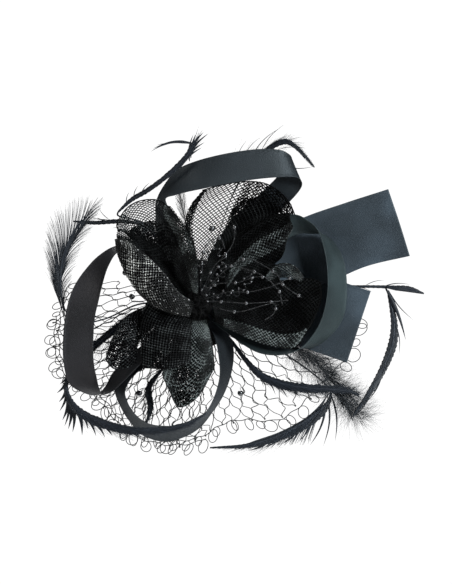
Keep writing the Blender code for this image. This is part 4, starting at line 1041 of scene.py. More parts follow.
def fan(shape, rng, roots, tips, count, thin=0.09, sweep=0.5, loose=1.0, lock=7):
    """Long barbs that leave the shaft along its run and bend out to matching tips, in locks that cling."""
    roots = curve(at(roots), count)
    ends = curve(at(tips), count)
    run = unit(np.gradient(roots, axis=0))
    share = np.linspace(0, 1, 10)[:, None]
    for k in range(count):
        near = min(int(round(k / lock)) * lock, count - 1)
        tip = ends[k] * 0.55 + ends[near] * 0.45 + rng.normal(0, loose, 3) * np.array([0.7, 0.5, 0.7]) * MM
        tip = roots[k] + (tip - roots[k]) * rng.uniform(0.86, 1.03)
        elbow = roots[k] + run[k] * np.linalg.norm(tip - roots[k]) * sweep
        line = (1 - share) ** 2 * roots[k] + 2 * share * (1 - share) * elbow + share**2 * tip
        thick = thin * MM * (1.25 - share[:, 0])
        shape.tube(line, thick * 1.4, thick * 0.7, 4, TOWARDS_VIEWER, rng.random() * 0.5)


def barb(shape, rng, root, run, side, size, lean, fluff, thin):
    """One barb: it leaves the shaft at an angle and curves towards the tip."""
    share = np.linspace(0, 1, 7)
    steps = spun(run, side, lean * (1 - BARB_EASE * share))
    steps = steps + TOWARDS_VIEWER * (rng.normal(0, fluff) + rng.normal(0, fluff) * share)[:, None]
    points = root + np.cumsum(unit(steps) * (size / 6), axis=0) - unit(steps[0]) * size / 6
    thick = thin * MM * (1.15 - share)
    shade = rng.random() * 0.6 + 0.4 * size / (20 * MM)
    shape.tube(points, thick * 1.5, thick * 0.7, 4, TOWARDS_VIEWER, shade)


def blade(shape, rng, root, tip, width, bow=0.08):
    """A stiff pointed barb from root to tip, widest a third of the way along."""
    root, tip = at(root), at(tip)
    share = np.linspace(0, 1, 12)
    across = unit(np.cross(TOWARDS_VIEWER, tip - root))
    length = np.linalg.norm(tip - root)
    points = root + (tip - root) * share[:, None]
    points = points + across * (np.sin(math.pi * share) * bow * length)[:, None]
    body = np.minimum(1.0, 0.35 + 2.4 * share) * (1 - share**2.2) + 0.03
    wide = width / 2 * MM * body
    shape.tube(points, wide, wide * 0.3 + 0.04 * MM, 6, TOWARDS_VIEWER, rng.random() * 0.5)


def hairs(shape, rng, root, aim, count, length, spread, curl, thin=0.05):
    """Loose down: fine curling hairs from around root that lean towards aim."""
    root, aim = at(root), unit(at(aim) - at(root))
    side = unit(np.cross(TOWARDS_VIEWER, aim))
    for _ in range(count):
        turn = rng.normal(0, spread)
        direction = aim * math.cos(turn) + side * math.sin(turn) + TOWARDS_VIEWER * rng.normal(0, 0.18)
        size = length * MM * rng.uniform(0.35, 1.1)
        share = np.linspace(0, 1, 9)
        swing = curl * rng.normal() * share**1.5
        waves = 0.05 * np.sin(share * rng.uniform(8, 16) + rng.uniform(0, 6)) * share
        steps = unit(direction) + side * (swing + waves)[:, None]
        steps = steps + TOWARDS_VIEWER * (0.15 * rng.normal() * share)[:, None]
        start = root + np.array([rng.normal(), 0.3 * rng.normal(), rng.normal()]) * DOWN_SCATTER * MM
        points = start + np.cumsum(unit(steps) * size / 8, axis=0)
        thick = thin * MM * (1.1 - 0.8 * share)
        shape.tube(points, thick, thick, 3, TOWARDS_VIEWER, 0.5 + 0.5 * rng.random())


# Each row is a place on a feather's shaft, (x, z, depth), and the vane's half-widths there, left and right.
# A spike is its root, its tip, its width and, where it isn't the usual one, how far it bows.
PLUME = [
    (-9, -1.5, 6.6, 0.6, 0.6), (-38, 0, 7.6, 0.7, 0.7), (-62, -10, 9.5, 0.7, 0.7),
    (-80, -13, 10.5, 0.8, 0.8), (-88.5, -6, 11.5, 1.0, 1.0), (-92, 8, 12.5, 3, 1.5), (-92, 24, 13.5, 7, 3),
    (-87, 42, 14, 12, 4), (-78, 57, 14.5, 12, 3), (-64, 71, 15, 1, 1),
]
PLUME_SPIKES = [
    ((-92, 14, 13), (-83.5, 47, 14.5), 2.2, 0.1), ((-91, 24, 13.4), (-66, 66, 15), 2.0, 0.12),
]
PLUME_LEFT_ROOTS = [
    (-89.5, -12, 11), (-91, -6, 11.4), (-92.5, 2, 12), (-93, 10, 12.6), (-92, 20, 13.2), (-89, 32, 13.7),
    (-80, 50, 14.3),
]
PLUME_LEFT_TIPS = [
    (-97, 10, 11), (-101.5, 26, 11), (-103, 43, 11.5), (-100, 56, 12), (-92.5, 65, 12.5), (-79, 72, 13.5),
    (-63, 71.5, 15),
]
PLUME_RIGHT_ROOTS = [
    (-89, -10, 11.2), (-92, 2, 12.2), (-92.5, 15, 13), (-89, 32, 13.8), (-80, 50, 14.4),
]
PLUME_RIGHT_TIPS = [
    (-86.5, 12, 13), (-83, 26, 14), (-76, 43, 14.5), (-68, 58, 15), (-62.5, 69, 15.2),
]
FORK = [
    (-8, 9, 6, 0.6, 0.6), (-20, 30, 6.3, 0.7, 0.7), (-33, 50, 7, 0.9, 0.9), (-45, 55, 8, 1.2, 1.2),
    (-56, 55.5, 10, 1.5, 1.5), (-70, 54.5, 11.5, 1.2, 1.2), (-84, 55.5, 12, 0.4, 0.4),
]
FORK_SPIKES = [
    ((-56, 55.5, 10), (-68, 58, 12), 1.6), ((-60, 55, 10.5), (-84, 56, 12.5), 2.2, 0.02),
    ((-60, 57, 11), (-67, 65, 12), 0.5), ((-61, 57, 11), (-72, 58.5, 12.5), 0.6),
    ((-47, 55, 9), (-58, 51, 10.5), 0.7),
]
LOWER = [
    (-8.5, -4.5, 7, 1.0, 1.0), (-40, -7, 7.8, 2.4, 2.4), (-56, -17, 9.5, 2.8, 2.8),
    (-70, -28.5, 10.5, 2.6, 2.6), (-83, -43, 11.5, 2.0, 2.0), (-88.5, -54, 13.5, 1.5, 1.8),
    (-85, -64, 18, 1, 4), (-77, -72, 23, 1.5, 5), (-63, -79, 28, 2.5, 5), (-45, -83.5, 31.5, 2.5, 4),
    (-25, -83.5, 32, 2, 3), (-8, -80, 32.5, 1.5, 2), (6, -72.5, 32.5, 0.4, 0.4),
]
LOWER_SPIKES = [
    ((-86, -46, 12.5), (-93, -54, 12.5), 2.1), ((-87, -50, 13), (-95, -60, 13), 2.3),
    ((-88, -56, 14), (-93.5, -66, 15), 2.3), ((-88, -58, 15), (-93, -72, 16), 2.1),
    ((-87, -61, 16), (-91, -78, 17), 2.9), ((-87, -62, 17), (-89.5, -82, 18), 2.3),
    ((-86, -63, 17.5), (-87, -84, 19), 3.0), ((-85, -65, 18.5), (-84, -86, 20), 2.9),
    ((-83, -67, 19.5), (-77.5, -88, 22), 3.1), ((-81, -69, 20.5), (-73.5, -84, 23), 2.6),
    ((-80, -70, 21.5), (-68, -88.5, 24), 2.6), ((-76, -73, 23.5), (-62, -89, 27), 3.0),
    ((-70, -76.5, 26), (-57, -88, 29), 2.9), ((-62, -79.5, 28.5), (-47, -88, 31), 2.3),
]
INNER = [
    (-3, -10.5, 7, 0.6, 0.6), (-10, -29, 8.3, 0.6, 0.6), (-24, -44, 9.7, 1, 1), (-33, -56, 11, 2.2, 2.2),
    (-32, -69, 12, 2.2, 2.2), (-34.5, -80, 12.5, 0.5, 0.5),
]
INNER_SPIKES = [
    ((-31, -52, 11), (-43, -68, 12.5), 0.7), ((-33, -57, 11.5), (-47, -74, 12.5), 0.6),
    ((-32, -64, 12), (-40, -82, 13), 0.8),
]
TOP_LEFT = [
    (-5.5, 11, 7.2, 0.6, 0.6), (-18, 31, 8.5, 0.6, 0.6), (-31, 50, 10.5, 0.6, 0.6),
    (-43, 56.5, 13, 0.7, 0.7), (-52, 58.5, 16.5, 0.7, 0.7), (-54, 60.5, 18.5, 0.7, 0.7),
    (-51, 64, 20, 1.2, 1.2), (-44, 70, 24, 2, 2), (-35, 75, 28.5, 2.2, 2.2), (-24, 82.5, 34, 2.2, 2.2),
    (-13, 92, 38.5, 2.4, 2.4), (-6, 100, 40, 2.4, 2.4), (-2, 108, 40.5, 3, 3), (1, 113.5, 40, 4.5, 4.5),
]
TOP_LEFT_SPIKES = [
    ((-5.4, 94.8, 38.8), (-2.8, 112.7, 41), 1.5), ((-4.5, 97, 39), (-0.7, 113.2, 41), 1.5),
    ((-5, 98, 39.3), (1.3, 112.4, 41), 1.7), ((-6, 97, 39.2), (3.9, 114.1, 41), 1.9),
    ((-7, 96, 39), (7.2, 113.2, 41), 1.9), ((-9, 94, 38.8), (4.7, 107.4, 40.6), 1.7),
    ((-12, 90, 38.3), (3.0, 104.0, 40.3), 1.7), ((-2.5, 106.5, 40), (-29.6, 103.2, 39), 2.2, -0.1),
    ((-17, 107, 39.5), (-31.5, 101.0, 39), 0.8, -0.06), ((-16, 107, 39.5), (-27.5, 105.6, 39), 0.6, -0.03),
    ((-48, 67, 22), (-46, 75, 23), 0.6), ((-43, 71, 24.5), (-40, 79, 26), 0.6),
    ((-38, 73.5, 27), (-32, 81, 28.5), 0.6),
]
WISP = [
    (3, 11, 6, 0.3, 0.3), (12, 40, 6.5, 0.3, 0.3), (22, 70, 8, 0.4, 0.4), (34, 92, 12, 1.5, 1.5),
    (48, 104, 18, 3, 2), (58, 108.5, 22, 3, 2.5), (65, 105.5, 23, 2, 2), (72, 98.5, 22.5, 1.5, 1.5),
    (78, 91.5, 21, 0.5, 0.5),
]
WISP_SPIKES = [
    ((26, 96, 14), (33, 110, 16), 0.5), ((30, 97, 14), (42, 112, 17), 0.5),
    ((36, 99, 15), (55, 118, 18), 0.6), ((42, 102, 16), (59, 121, 19), 0.5),
    ((44, 102, 17), (64, 114, 20), 0.4), ((50, 104, 19), (72, 112, 21), 0.35),
    ((52, 103, 19), (74, 104, 21), 0.4), ((48, 104, 20), (78, 92, 21.5), 1.0, -0.2),
]
TOP_INNER = [
    (-1.5, 11, 8.5, 0.6, 0.6), (-5, 40, 9.5, 3, 3), (-10, 62, 12, 5, 6), (-13, 76, 14, 2, 3),
]
QUILL = [
    (9, 1.5, 6.6, 0.7, 0.7), (40, 7.5, 6.9, 0.7, 0.7), (80, 11.5, 7.6, 0.7, 0.7), (110, 11.7, 9, 0.8, 0.8),
    (130, 11.3, 10.5, 1.0, 1.0), (142, 10.3, 11, 1.4, 1.4), (152, 7, 11, 0.4, 0.4),
]
QUILL_SPIKES = [
    ((126, 11, 10.5), (139.5, -24, 14), 2.6, 0.04), ((128, 9.5, 10.5), (145, -11, 12.5), 0.8, -0.06),
    ((126, 11.3, 10.6), (152, 6.5, 12), 3.0, 0.02), ((124, 11.5, 10), (143, 13, 11.5), 0.7),
    ((112, 12, 9), (126, 16, 10), 0.5), ((104, 11.5, 9), (118, 7.5, 10), 0.5),
]
DROOP = [
    (127.8, 8.8, 10, 0.6, 0.6), (130.5, -3, 11, 1.3, 1.3), (132, -15, 12, 1.8, 1.8),
    (130.5, -28, 13.5, 2.3, 2.3), (124, -44, 16, 1.9, 1.9), (114, -61, 20, 1.4, 1.4),
    (103.5, -75.5, 21.5, 0.4, 0.4),
]
DROOP_SPIKES = [
    ((131, -20, 12.5), (128, -42, 15), 1.2), ((132, -12, 12), (135, -34, 14), 0.8),
    ((124, -44, 16), (113, -66, 19), 1.2), ((118, -54, 18), (104, -76, 21), 1.0),
]
LOW_RIGHT = [
    (7, -7.5, 6.8, 0.7, 0.7), (14, -15.5, 7.4, 0.9, 0.9), (22, -24.5, 8.6, 1.2, 1.2), (31, -36, 13, 1.5, 2),
    (42, -46.5, 17.5, 1.5, 4), (56, -53, 20.5, 2.5, 4.5), (72, -56, 21.5, 3, 4), (88, -57, 22, 2.5, 2.5),
    (100, -58, 22, 2, 2), (108, -61, 21.5, 0.5, 0.5),
]
LOW_RIGHT_SPIKES = [
    ((36, -41, 15), (44, -56, 18), 1.3), ((42, -46, 17.5), (52, -61, 20), 1.4),
    ((48, -50, 19), (60, -63, 21), 1.5), ((54, -52.5, 20), (69, -63, 22), 1.4),
    ((62, -54.5, 21), (76, -61.5, 22), 1.2), ((84, -57, 22), (104, -55, 22), 0.9),
    ((90, -57.5, 22), (108, -62, 22), 1.0),
]
SWEEP = [
    (9.5, -5.5, 7.4, 0.6, 0.6), (35, -19, 8.4, 0.6, 0.6), (62, -36, 9.7, 0.6, 0.6),
    (80, -49, 10.7, 0.6, 0.6), (88.5, -57.5, 12.5, 0.8, 0.8), (88, -64, 15, 2, 1), (82, -71, 17, 5, 1.5),
    (70, -80, 18.5, 5.5, 2), (52, -89, 19, 4, 1.5), (32, -94.5, 19, 2.5, 1), (8, -96.3, 18.5, 0.4, 0.4),
]
SWEEP_SPIKES = [
    ((86, -66, 16), (75, -95, 18), 1.6), ((87, -62, 15), (84, -95.5, 18), 1.4),
    ((89, -60, 14), (92, -92, 17), 1.4), ((90, -58, 13), (104, -79, 17), 3.5, 0.1),
    ((91, -57, 13), (98, -71, 16), 2.9), ((92, -56, 13), (105, -66, 16), 1.0),
    ((93, -56, 13), (109, -70, 16), 1.0), ((78, -74, 17.5), (67, -93, 18.5), 1.4),
    ((70, -80, 18.5), (56, -94, 19), 1.9), ((60, -85, 18.8), (45, -96, 19), 1.8),
    ((50, -90, 19), (33, -98.5, 19), 1.6),
]
TUFT = [
    (10.5, -2, 8.4, 0.6, 0.6), (38, -14, 9, 0.6, 0.6), (62, -27, 10.3, 2, 2), (76, -36, 11.7, 7, 7),
    (88, -49, 15, 8, 8), (98, -62, 17.5, 7, 7), (109, -76, 18, 4, 4),
]
SWEEP_ROOTS = [
    (88, -60, 14.5), (81, -69, 16.5), (71, -77.5, 18.3), (55, -86, 19), (38, -92, 19),
]
SWEEP_TIPS = [
    (74, -95, 18.5), (66, -94, 19), (56, -95.5, 19.2), (42, -97.5, 19.2), (22, -98, 19),
]


def make_left_feathers(look):
    fans = [(PLUME_LEFT_ROOTS, PLUME_LEFT_TIPS, 190, 0.12, 0.6)]
    fans += [(PLUME_RIGHT_ROOTS, PLUME_RIGHT_TIPS, 120, 0.11, 0.6)]
    feather("feather_left_plume", PLUME, look, shaft=0.6, solid=0, least=99, fans=fans, spikes=PLUME_SPIKES)
    feather("feather_left_fork", FORK, look, solid=1.0, spikes=FORK_SPIKES)
    down = [((-38 - 4.5 * k, -5 - 3.6 * k, 9.5), (-58 - 4 * k, -26 - 3 * k, 10), 40, 17, 0.4, 0.3)
            for k in range(7)]
    feather("feather_lower_left", LOWER, look, shaft=0.7, solid=0.85, angle=15, spikes=LOWER_SPIKES,
            down=down)
    down = [((-27 - 2 * k, -45 - 5 * k, 11), (-42 - k, -70 - 4 * k, 12), 16, 15, 0.4, 0.3) for k in range(5)]
    feather("feather_inner", INNER, look, solid=0.9, angle=16, spikes=INNER_SPIKES, down=down)


def make_top_feathers(look, wispy):
    feather("feather_top_left", TOP_LEFT, look, shaft=0.6, solid=0.72, gap=0.45, angle=13, scale=0.8,
            vane_end=0.9, spikes=TOP_LEFT_SPIKES)
    down = [((20 + 5 * k, 93 + 1.6 * k, 15 + k), (34 + 6 * k, 112 + k, 18 + k), 14, 15, 0.35, 0.3, 0.035)
            for k in range(8)]
    feather("feather_top_wisp", WISP, look, shaft=0.3, solid=0.7, gap=0.35, angle=24, scale=1.2, thin=0.06,
            fluff=0.2, spikes=WISP_SPIKES, down=down)
    feather("feather_top_inner", TOP_INNER, wispy, solid=0, gap=0.5, angle=25, thin=0.06, fluff=0.25)


def make_right_feathers(look):
    feather("feather_right_quill", QUILL, look, shaft=0.8, solid=1.1, least=1.2, spikes=QUILL_SPIKES)
    feather("feather_right_droop", DROOP, look, solid=1.3, gap=0.6, angle=11, scale=0.8, spikes=DROOP_SPIKES)
    feather("feather_low_right", LOW_RIGHT, look, shaft=0.8, solid=0.85, angle=17, scale=1.15,
            spikes=LOW_RIGHT_SPIKES)
    feather("feather_bottom_sweep", SWEEP, look, solid=0.85, gap=0.5, angle=12, scale=0.85,
            spikes=SWEEP_SPIKES, fans=[(SWEEP_ROOTS, SWEEP_TIPS, 70, 0.24, 0.3, 0.15, 4)])


def make_marabou(look):
    """Marabou: a thin shaft with long loose down from over a quarter of the way along to its tip."""
    line, _ = fitted_route("marabou_tuft", TUFT, TUFT_STATIONS)
    rng, shape = random_of("marabou"), Shape()
    shape.tube(line, np.linspace(0.5, 0.1, TUFT_STATIONS) * MM, None, 6, TOWARDS_VIEWER, 0.6)
    places = line[:, [0, 2, 1]] / MM * [1, 1, -1]
    for k in range(TUFT_BARE, TUFT_STATIONS - 1):
        aim = places[min(k + 6, TUFT_STATIONS - 1)] + np.array([rng.normal(0, 7), rng.normal(0, 7), 1])
        hairs(shape, rng, places[k], aim, 80, 17, 0.7, 0.22, 0.07)
    piece("marabou_tuft_down", shape, look, "feather", "marabou_tuft")


def make_feathers():
    look = feather_look("feather_glossy", (0.003, 0.004, 0.006), (0.012, 0.016, 0.024), (0.7, 0.85, 1.0))
    wispy = feather_look("feather_down", (0.008, 0.009, 0.011), (0.035, 0.038, 0.042), (0.9, 0.95, 1.0))
    make_left_feathers(look)
    make_top_feathers(look, wispy)
    make_right_feathers(look)
    make_marabou(wispy)


# ------------------------------------------------------------------ stamens and beads

# Each stamen's route, and the shares of its length where its beads sit
STAMENS = [
    ([(3, 2, 31), (15, 2, 38), (33, 1, 43), (49, 2, 45), (60, 3, 46)], (0.24, 0.53, 0.81)),
    ([(3, 4, 31), (12, 12.5, 38), (27, 14, 42), (38, 17.5, 45), (50, 17, 46)], (0.25, 0.52, 0.74, 0.87)),
    (
        [(2, 6, 31), (14, 25, 38), (24, 25, 42), (41, 20, 48), (53, 10, 50), (56, 0, 49.5)],
        (0.29, 0.41, 0.62, 0.89),
    ),
    (
        [(3.5, 6.5, 32), (18, 22, 42), (33, 29.5, 46), (51, 20.5, 50.5), (57, 12, 49.5), (69, 4, 48.5)],
        (0.44, 0.69, 0.82, 0.97),
    ),
    (
        [(4, 3, 32.5), (20, 8, 41), (34, 8, 46), (50, 12, 52.5), (62, 17.5, 52), (70, 17.5, 50.5)],
        (0.45, 0.87),
    ),
    ([(4, 0, 31), (25, -5, 41), (42, -1, 46), (51, 0.5, 48), (50, -6, 49), (44, -10.5, 48)], (0.34, 0.83)),
    ([(0.5, 7, 31), (3, 20, 37), (3, 31, 41), (7, 40, 43), (15, 43, 44), (18, 36, 43)], (0.4, 0.55, 0.84)),
    ([(2, 7.5, 32.5), (10, 24, 41), (19, 34, 44), (24, 43, 45), (24, 53, 45)], (0.3, 0.6, 0.96)),
]
# Two fine wires twist round each other along a stamen
STAMEN_BEAD = 1.4 * MM
STAMEN_STATIONS = 240
TWIST_PITCH = 2.4 * MM
TWIST_RADIUS = 0.16 * MM
TWIST_WIRE = 0.14 * MM
SEED_COIL = 2.2 * MM
SEED_TURNS = 7
SEED_STATIONS = 160
SEED_COILS = [
    [(2, 8, 34), (0, 18, 38), (3, 28, 42), (8, 36, 43), (9, 43, 42)],
    [(4, 6, 34), (9, 14, 40), (16, 20, 43), (17, 30, 44), (13, 38, 43)],
    [(5, 3, 33), (16, 7, 39), (26, 8, 42), (33, 14, 44), (33, 22, 45)],
]
VEIL_BEADS = 5


def seed_beads(wire, gloss):
    """Coiled wire with seed beads round the heart of the flower. The CAD model doesn't have it."""
    rng = random_of("seed_beads")
    strands, beads = Shape(), Shape()
    for route in SEED_COILS:
        middle = curve(at(route), SEED_STATIONS)
        run = unit(np.gradient(middle, axis=0))
        normal = steady(run)
        turn = np.linspace(0, 2 * math.pi * SEED_TURNS, SEED_STATIONS)
        wide = SEED_COIL * (1 + 0.25 * np.sin(turn * 0.37))[:, None]
        line = middle + spun(normal, np.cross(run, normal), turn) * wide
        strands.tube(line, 0.15 * MM, shade=0.4)
        for i in range(6, SEED_STATIONS - 4, 13):
            i += int(rng.integers(-3, 4))
            beads.bead(line[i], unit(line[i + 1] - line[i - 1]), rng.uniform(0.75, 1.0) * MM, turns=12)
    piece("seed_bead_wire", strands, wire, "wire")
    piece("seed_beads", beads, gloss, "bead")


def stamen(node, route, shares, wire, gloss):
    """A stamen: two wires twisted together, with beads on them."""
    fine = curve(at(route), STAMEN_STATIONS)
    low, high = corners(node)
    fine = fine + (low + high) / 2 - (fine.max(0) + fine.min(0)) / 2
    lengths = lengths_along(fine)
    run = unit(np.gradient(fine, axis=0))
    normal = steady(run)
    shape, beads = Shape(), Shape()
    for half in (0, math.pi):
        turn = lengths / TWIST_PITCH * 2 * math.pi + half
        strand = fine + spun(normal, np.cross(run, normal), turn) * TWIST_RADIUS
        shape.tube(strand, TWIST_WIRE, shade=0.3)
    piece(f"{node}_wire", shape, wire, "wire", node)
    for share in shares:
        i = min(int(np.searchsorted(lengths, share * lengths[-1])), STAMEN_STATIONS - 1)
        beads.bead(fine[i], run[i], STAMEN_BEAD)
    piece(f"{node}_beads", beads, gloss, "bead")


def veil_bead(node, gloss, tie):
    """A round bead where the CAD model has one, and the thread that ties it to the net."""
    low, high = corners(node)
    centre, radius = (low + high) / 2, (high - low).max() / 2
    turn = random_of(node).uniform(0, math.pi)
    axis = np.array([math.cos(turn), 0.0, math.sin(turn)])
    shape, thread = Shape(), Shape()
    shape.bead(centre, axis, radius, turns=24)
    piece(f"{node}_round", shape, gloss, "bead", node)
    reach = np.array([-1.9, -1.3, -0.6, 0.6, 1.3, 1.9])[:, None]
    back = -TOWARDS_VIEWER * np.array([1.1, 0.4, 0, 0, 0.4, 1.1])[:, None]
    thread.tube(curve(centre + (axis * reach + back) * radius, 15), 0.2 * MM)
    piece(f"{node}_thread", thread, tie, "net")


def make_stamens():
    wire = thread_look("wire_enamel", (0.006, 0.006, 0.0065), (0.035, 0.035, 0.036), 1800.0, (0.2, 0.35))
    gloss = bead_look()
    for k, (route, shares) in enumerate(STAMENS, start=1):
        stamen(f"stamen_{k}", route, shares, wire, gloss)
    seed_beads(wire, gloss)
    tie = thread_look("bead_thread", (0.006, 0.006, 0.006), (0.02, 0.02, 0.02))
    for k in range(1, VEIL_BEADS + 1):
        veil_bead(f"veil_bead_{k}", gloss, tie)


# ------------------------------------------------------------------ base, clip and brooch

# The spring: half its wire, the coil's radius, and its turns
SPRING_WIRE = 0.28 * MM
SPRING_RADIUS = 1.55 * MM
SPRING_TURNS = 3.5
# The steel nodes: the axis their drawn lines run along, their tone and their least roughness
STEEL = {
    "clip_arm": (0, (0.62, 0.63, 0.65), 0.22),
    "clip_jaw": (0, (0.64, 0.65, 0.67), 0.20),
    "clip_hinge_pin": (2, (0.66, 0.66, 0.67), 0.16),
    "brooch_bar": (0, (0.63, 0.63, 0.64), 0.24),
    "brooch_pin": (0, (0.68, 0.68, 0.69), 0.14),
    "brooch_rivet": (2, (0.66, 0.66, 0.67), 0.18),
    "brooch_catch": (0, (0.64, 0.64, 0.65), 0.20),
}
# The names of their materials, where they aren't steel_ and the node's own
STEEL_NAMES = {
    "clip_hinge_pin": "steel_hinge_pin",
    "brooch_rivet": "steel_rivet",
    "brooch_catch": "steel_catch",
}

# Turns of thread round the binding post, threads across it, and loose loops over it
HEART_WINDINGS = 14
HEART_CROSSINGS = 46
HEART_LOOPS = 70
FELT_STITCHES = 64
# The angle that a stitch slants through round the felt
STITCH_SLANT = 0.035
STITCH_THREAD = 0.16 * MM
# Where the stitches lie along the clip's arm and the brooch bar, three threads to each, in millimetres
CLIP_STITCHES = (-20, -12, -4, 3, 18, 22)
BAR_STITCHES = (-8, -6.5, 5.5, 7)
STITCH_SHIFTS = (-0.35, 0.0, 0.35)


def make_base():
    """Looks for the CAD nodes that show as they are: felt, tape and steel."""
    looks = {
        "base_disc": felt_look("felt_base", (0.006, 0.006, 0.007), (0.022, 0.022, 0.024)),
        "backing_felt": felt_look("felt_back", (0.009, 0.009, 0.010), (0.032, 0.032, 0.034)),
        "binding_post": tape_look(),
    }
    for node, finish in STEEL.items():
        looks[node] = steel_look(STEEL_NAMES.get(node, f"steel_{node}"), *finish)
    for node, look in looks.items():
        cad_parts[node].data.materials.clear()
        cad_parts[node].data.materials.append(look)


def make_spring():
    """The clip's torsion spring: its free leg turns about the hinge with the jaw, and the rest stays."""
    look = steel_look("steel_spring", 2, (0.50, 0.51, 0.53), 0.28)
    low, high = corners("clip_spring")
    hinge = sum(corners("clip_hinge_pin"))[:2] / 2
    bottom, top = low[2] + SPRING_WIRE, high[2] - SPRING_WIRE
    angle = -math.pi / 2 - np.linspace(0, 2 * math.pi * SPRING_TURNS, 120)

    def on_coil(angle, height):
        x, y = (hinge[k] + SPRING_RADIUS * turn(angle) for k, turn in ((0, np.cos), (1, np.sin)))
        return np.stack([x, y, np.broadcast_to(height, x.shape)], -1)

    foot = (low[0] + SPRING_WIRE, low[1] + SPRING_WIRE, bottom)
    fixed_leg = curve(np.array([foot, (hinge[0] - 1.6 * MM, 2.2 * MM, bottom)]), 8)
    # The coil runs on past its end at rest, so that it still meets the free leg when the jaw is open
    further = on_coil(angle[-1] - np.linspace(0.05, 0.5, 6), top)
    coil, leg = Shape(), Shape()
    wound = on_coil(angle, np.linspace(bottom, top, 120))
    coil.tube(np.concatenate([fixed_leg, wound, further]), SPRING_WIRE, None, 10)
    piece("clip_spring_coil", coil, look, "steel", "clip_spring")
    end = np.array([hinge[0] + 2.6 * MM, hinge[1] + 1.15 * MM, top])
    start = on_coil(angle[-1] + np.array([0.35, 0.15, 0.0]), top)
    straight = curve(np.array([start[-1] + (end - start[-1]) * 0.25, end]), 8)
    leg.tube(np.concatenate([start, straight]), SPRING_WIRE, None, 10)
    piece("clip_spring_leg", leg, look, "steel", body="clip_jaw")


def make_heart():
    """Thread wound round the binding post's top, across it and loose over it, which ties in the petals."""
    rng = random_of("heart")
    low, high = corners("binding_post")
    centre, radius, front = (low + high) / 2, (high[0] - low[0]) / 2, low[1]

    def beside(angle, out, depth):
        return np.stack([centre[0] + out * np.cos(angle), depth, centre[2] + out * np.sin(angle)], -1)

    shape = Shape()
    turns = np.linspace(0, 2 * math.pi * HEART_WINDINGS, 700)
    depth = front + 0.4 * MM + np.linspace(0, 7.5 * MM, 700)
    ring = radius + 0.25 * MM + 0.15 * MM * np.sin(turns * 3.3)
    shape.tube(beside(turns, ring, depth), 0.32 * MM, None, 6, shade=0.4)
    for _ in range(HEART_CROSSINGS):
        angle, miss = rng.uniform(0, 2 * math.pi), rng.normal(0, 0.5)
        over = ((0, 1.04), (0.3 * miss, 0.6), (math.pi - 0.3 * miss, 0.6), (math.pi + miss, 1.04))
        places = []
        for turn, share in over:
            depth = front - (1.25 - share) * rng.uniform(1.0, 3.2) * MM
            places.append(beside(angle + turn, radius * share, depth))
        shape.tube(curve(np.array(places), 15), 0.28 * MM, shade=rng.random())
    for _ in range(HEART_LOOPS):
        angle, out = rng.uniform(0, 2 * math.pi), rng.uniform(0.2, 1.5) * radius
        size = rng.uniform(2.0, 4.2) * MM
        middle = centre + np.array([math.cos(angle) * out, 0, math.sin(angle) * out])
        middle[1] = front - rng.uniform(-2.5, 4.0) * MM
        first, second = unit(rng.normal(size=3)), unit(rng.normal(size=3))
        loop = middle + size * spun(first, second, np.linspace(0, rng.uniform(1.2, 1.9) * math.pi, 17))
        shape.tube(loop, 0.3 * MM, shade=rng.random())
    look = thread_look("heart_thread", (0.0008,) * 3, (0.004,) * 3, gloss=0.1)
    piece("binding_post_thread", shape, look, "binding")


def stitch(shape, rng, points):
    shape.tube(curve(np.array(points), 13), STITCH_THREAD, None, 6, None, rng.random())


def felt_stitches(shape, rng):
    """Overcast stitches round the backing felt and into the base."""
    low, high = corners("backing_felt")
    rim, face, foot = (high[0] - low[0]) / 2, high[1], corners("base_disc")[1][1]
    centre = (low + high) / 2
    places = [
        (rim - 2.0 * MM, face - 0.1 * MM),
        (rim - 1.2 * MM, face + 0.16 * MM),
        (rim + 0.1 * MM, face + 0.1 * MM),
        (rim + 0.5 * MM, (face + foot) / 2),
        (rim + 1.2 * MM, foot + 0.02 * MM),
        (rim + 1.5 * MM, foot - 0.15 * MM),
    ]
    for k in range(FELT_STITCHES):
        angle = 2 * math.pi * k / FELT_STITCHES + rng.normal(0, 0.01)
        turns = np.linspace(angle, angle + STITCH_SLANT, len(places))
        row = []
        for (r, y), a in zip(places, turns):
            row.append((centre[0] + r * math.cos(a), y, centre[2] + r * math.sin(a)))
        stitch(shape, rng, row)


def make_stitches():
    """The stitches round the backing felt, and those that hold the clip's arm and the brooch bar down."""
    rng, shape = random_of("stitches"), Shape()
    felt_stitches(shape, rng)
    low, high = corners("clip_arm")
    top = 1.3 * MM
    for x in CLIP_STITCHES:
        for edge, out in ((low[2], -1), (high[2], 1)):
            ends = [(edge - out * 1.0 * MM, top - 0.05 * MM), (edge - out * 0.3 * MM, top + 0.15 * MM)]
            ends += [(edge + out * 0.25 * MM, 0.6 * MM), (edge + out * 0.9 * MM, -0.1 * MM)]
            for shift in STITCH_SHIFTS:
                stitch(shape, rng, [((x + shift) * MM, y, z) for z, y in ends])
    low, high = corners("brooch_bar")
    ends = [(low[2] - 0.8 * MM, -0.1), (low[2] - 0.25 * MM, 0.5), (low[2] + 0.3 * MM, 1.32)]
    ends += [(high[2] - 0.3 * MM, 1.32), (high[2] + 0.25 * MM, 0.5), (high[2] + 0.8 * MM, -0.1)]
    for x in BAR_STITCHES:
        for shift in STITCH_SHIFTS:
            stitch(shape, rng, [((x + shift) * MM, y * MM, z) for z, y in ends])
    look = thread_look("sewing_thread", (0.008, 0.008, 0.009), (0.035, 0.035, 0.037))
    piece("base_stitches", shape, look, "felt")


# ------------------------------------------------------------------ stage

LENS = 200.0
SENSOR = 36.0
# What the picture spans at the object's plane, and the row frame's (x, z) at its middle
VIEW_HEIGHT = 391.3 * MM
VIEW_CENTRE = (18.8 * MM, 8.0 * MM)
OBJECT_PLANE = -20.0 * MM
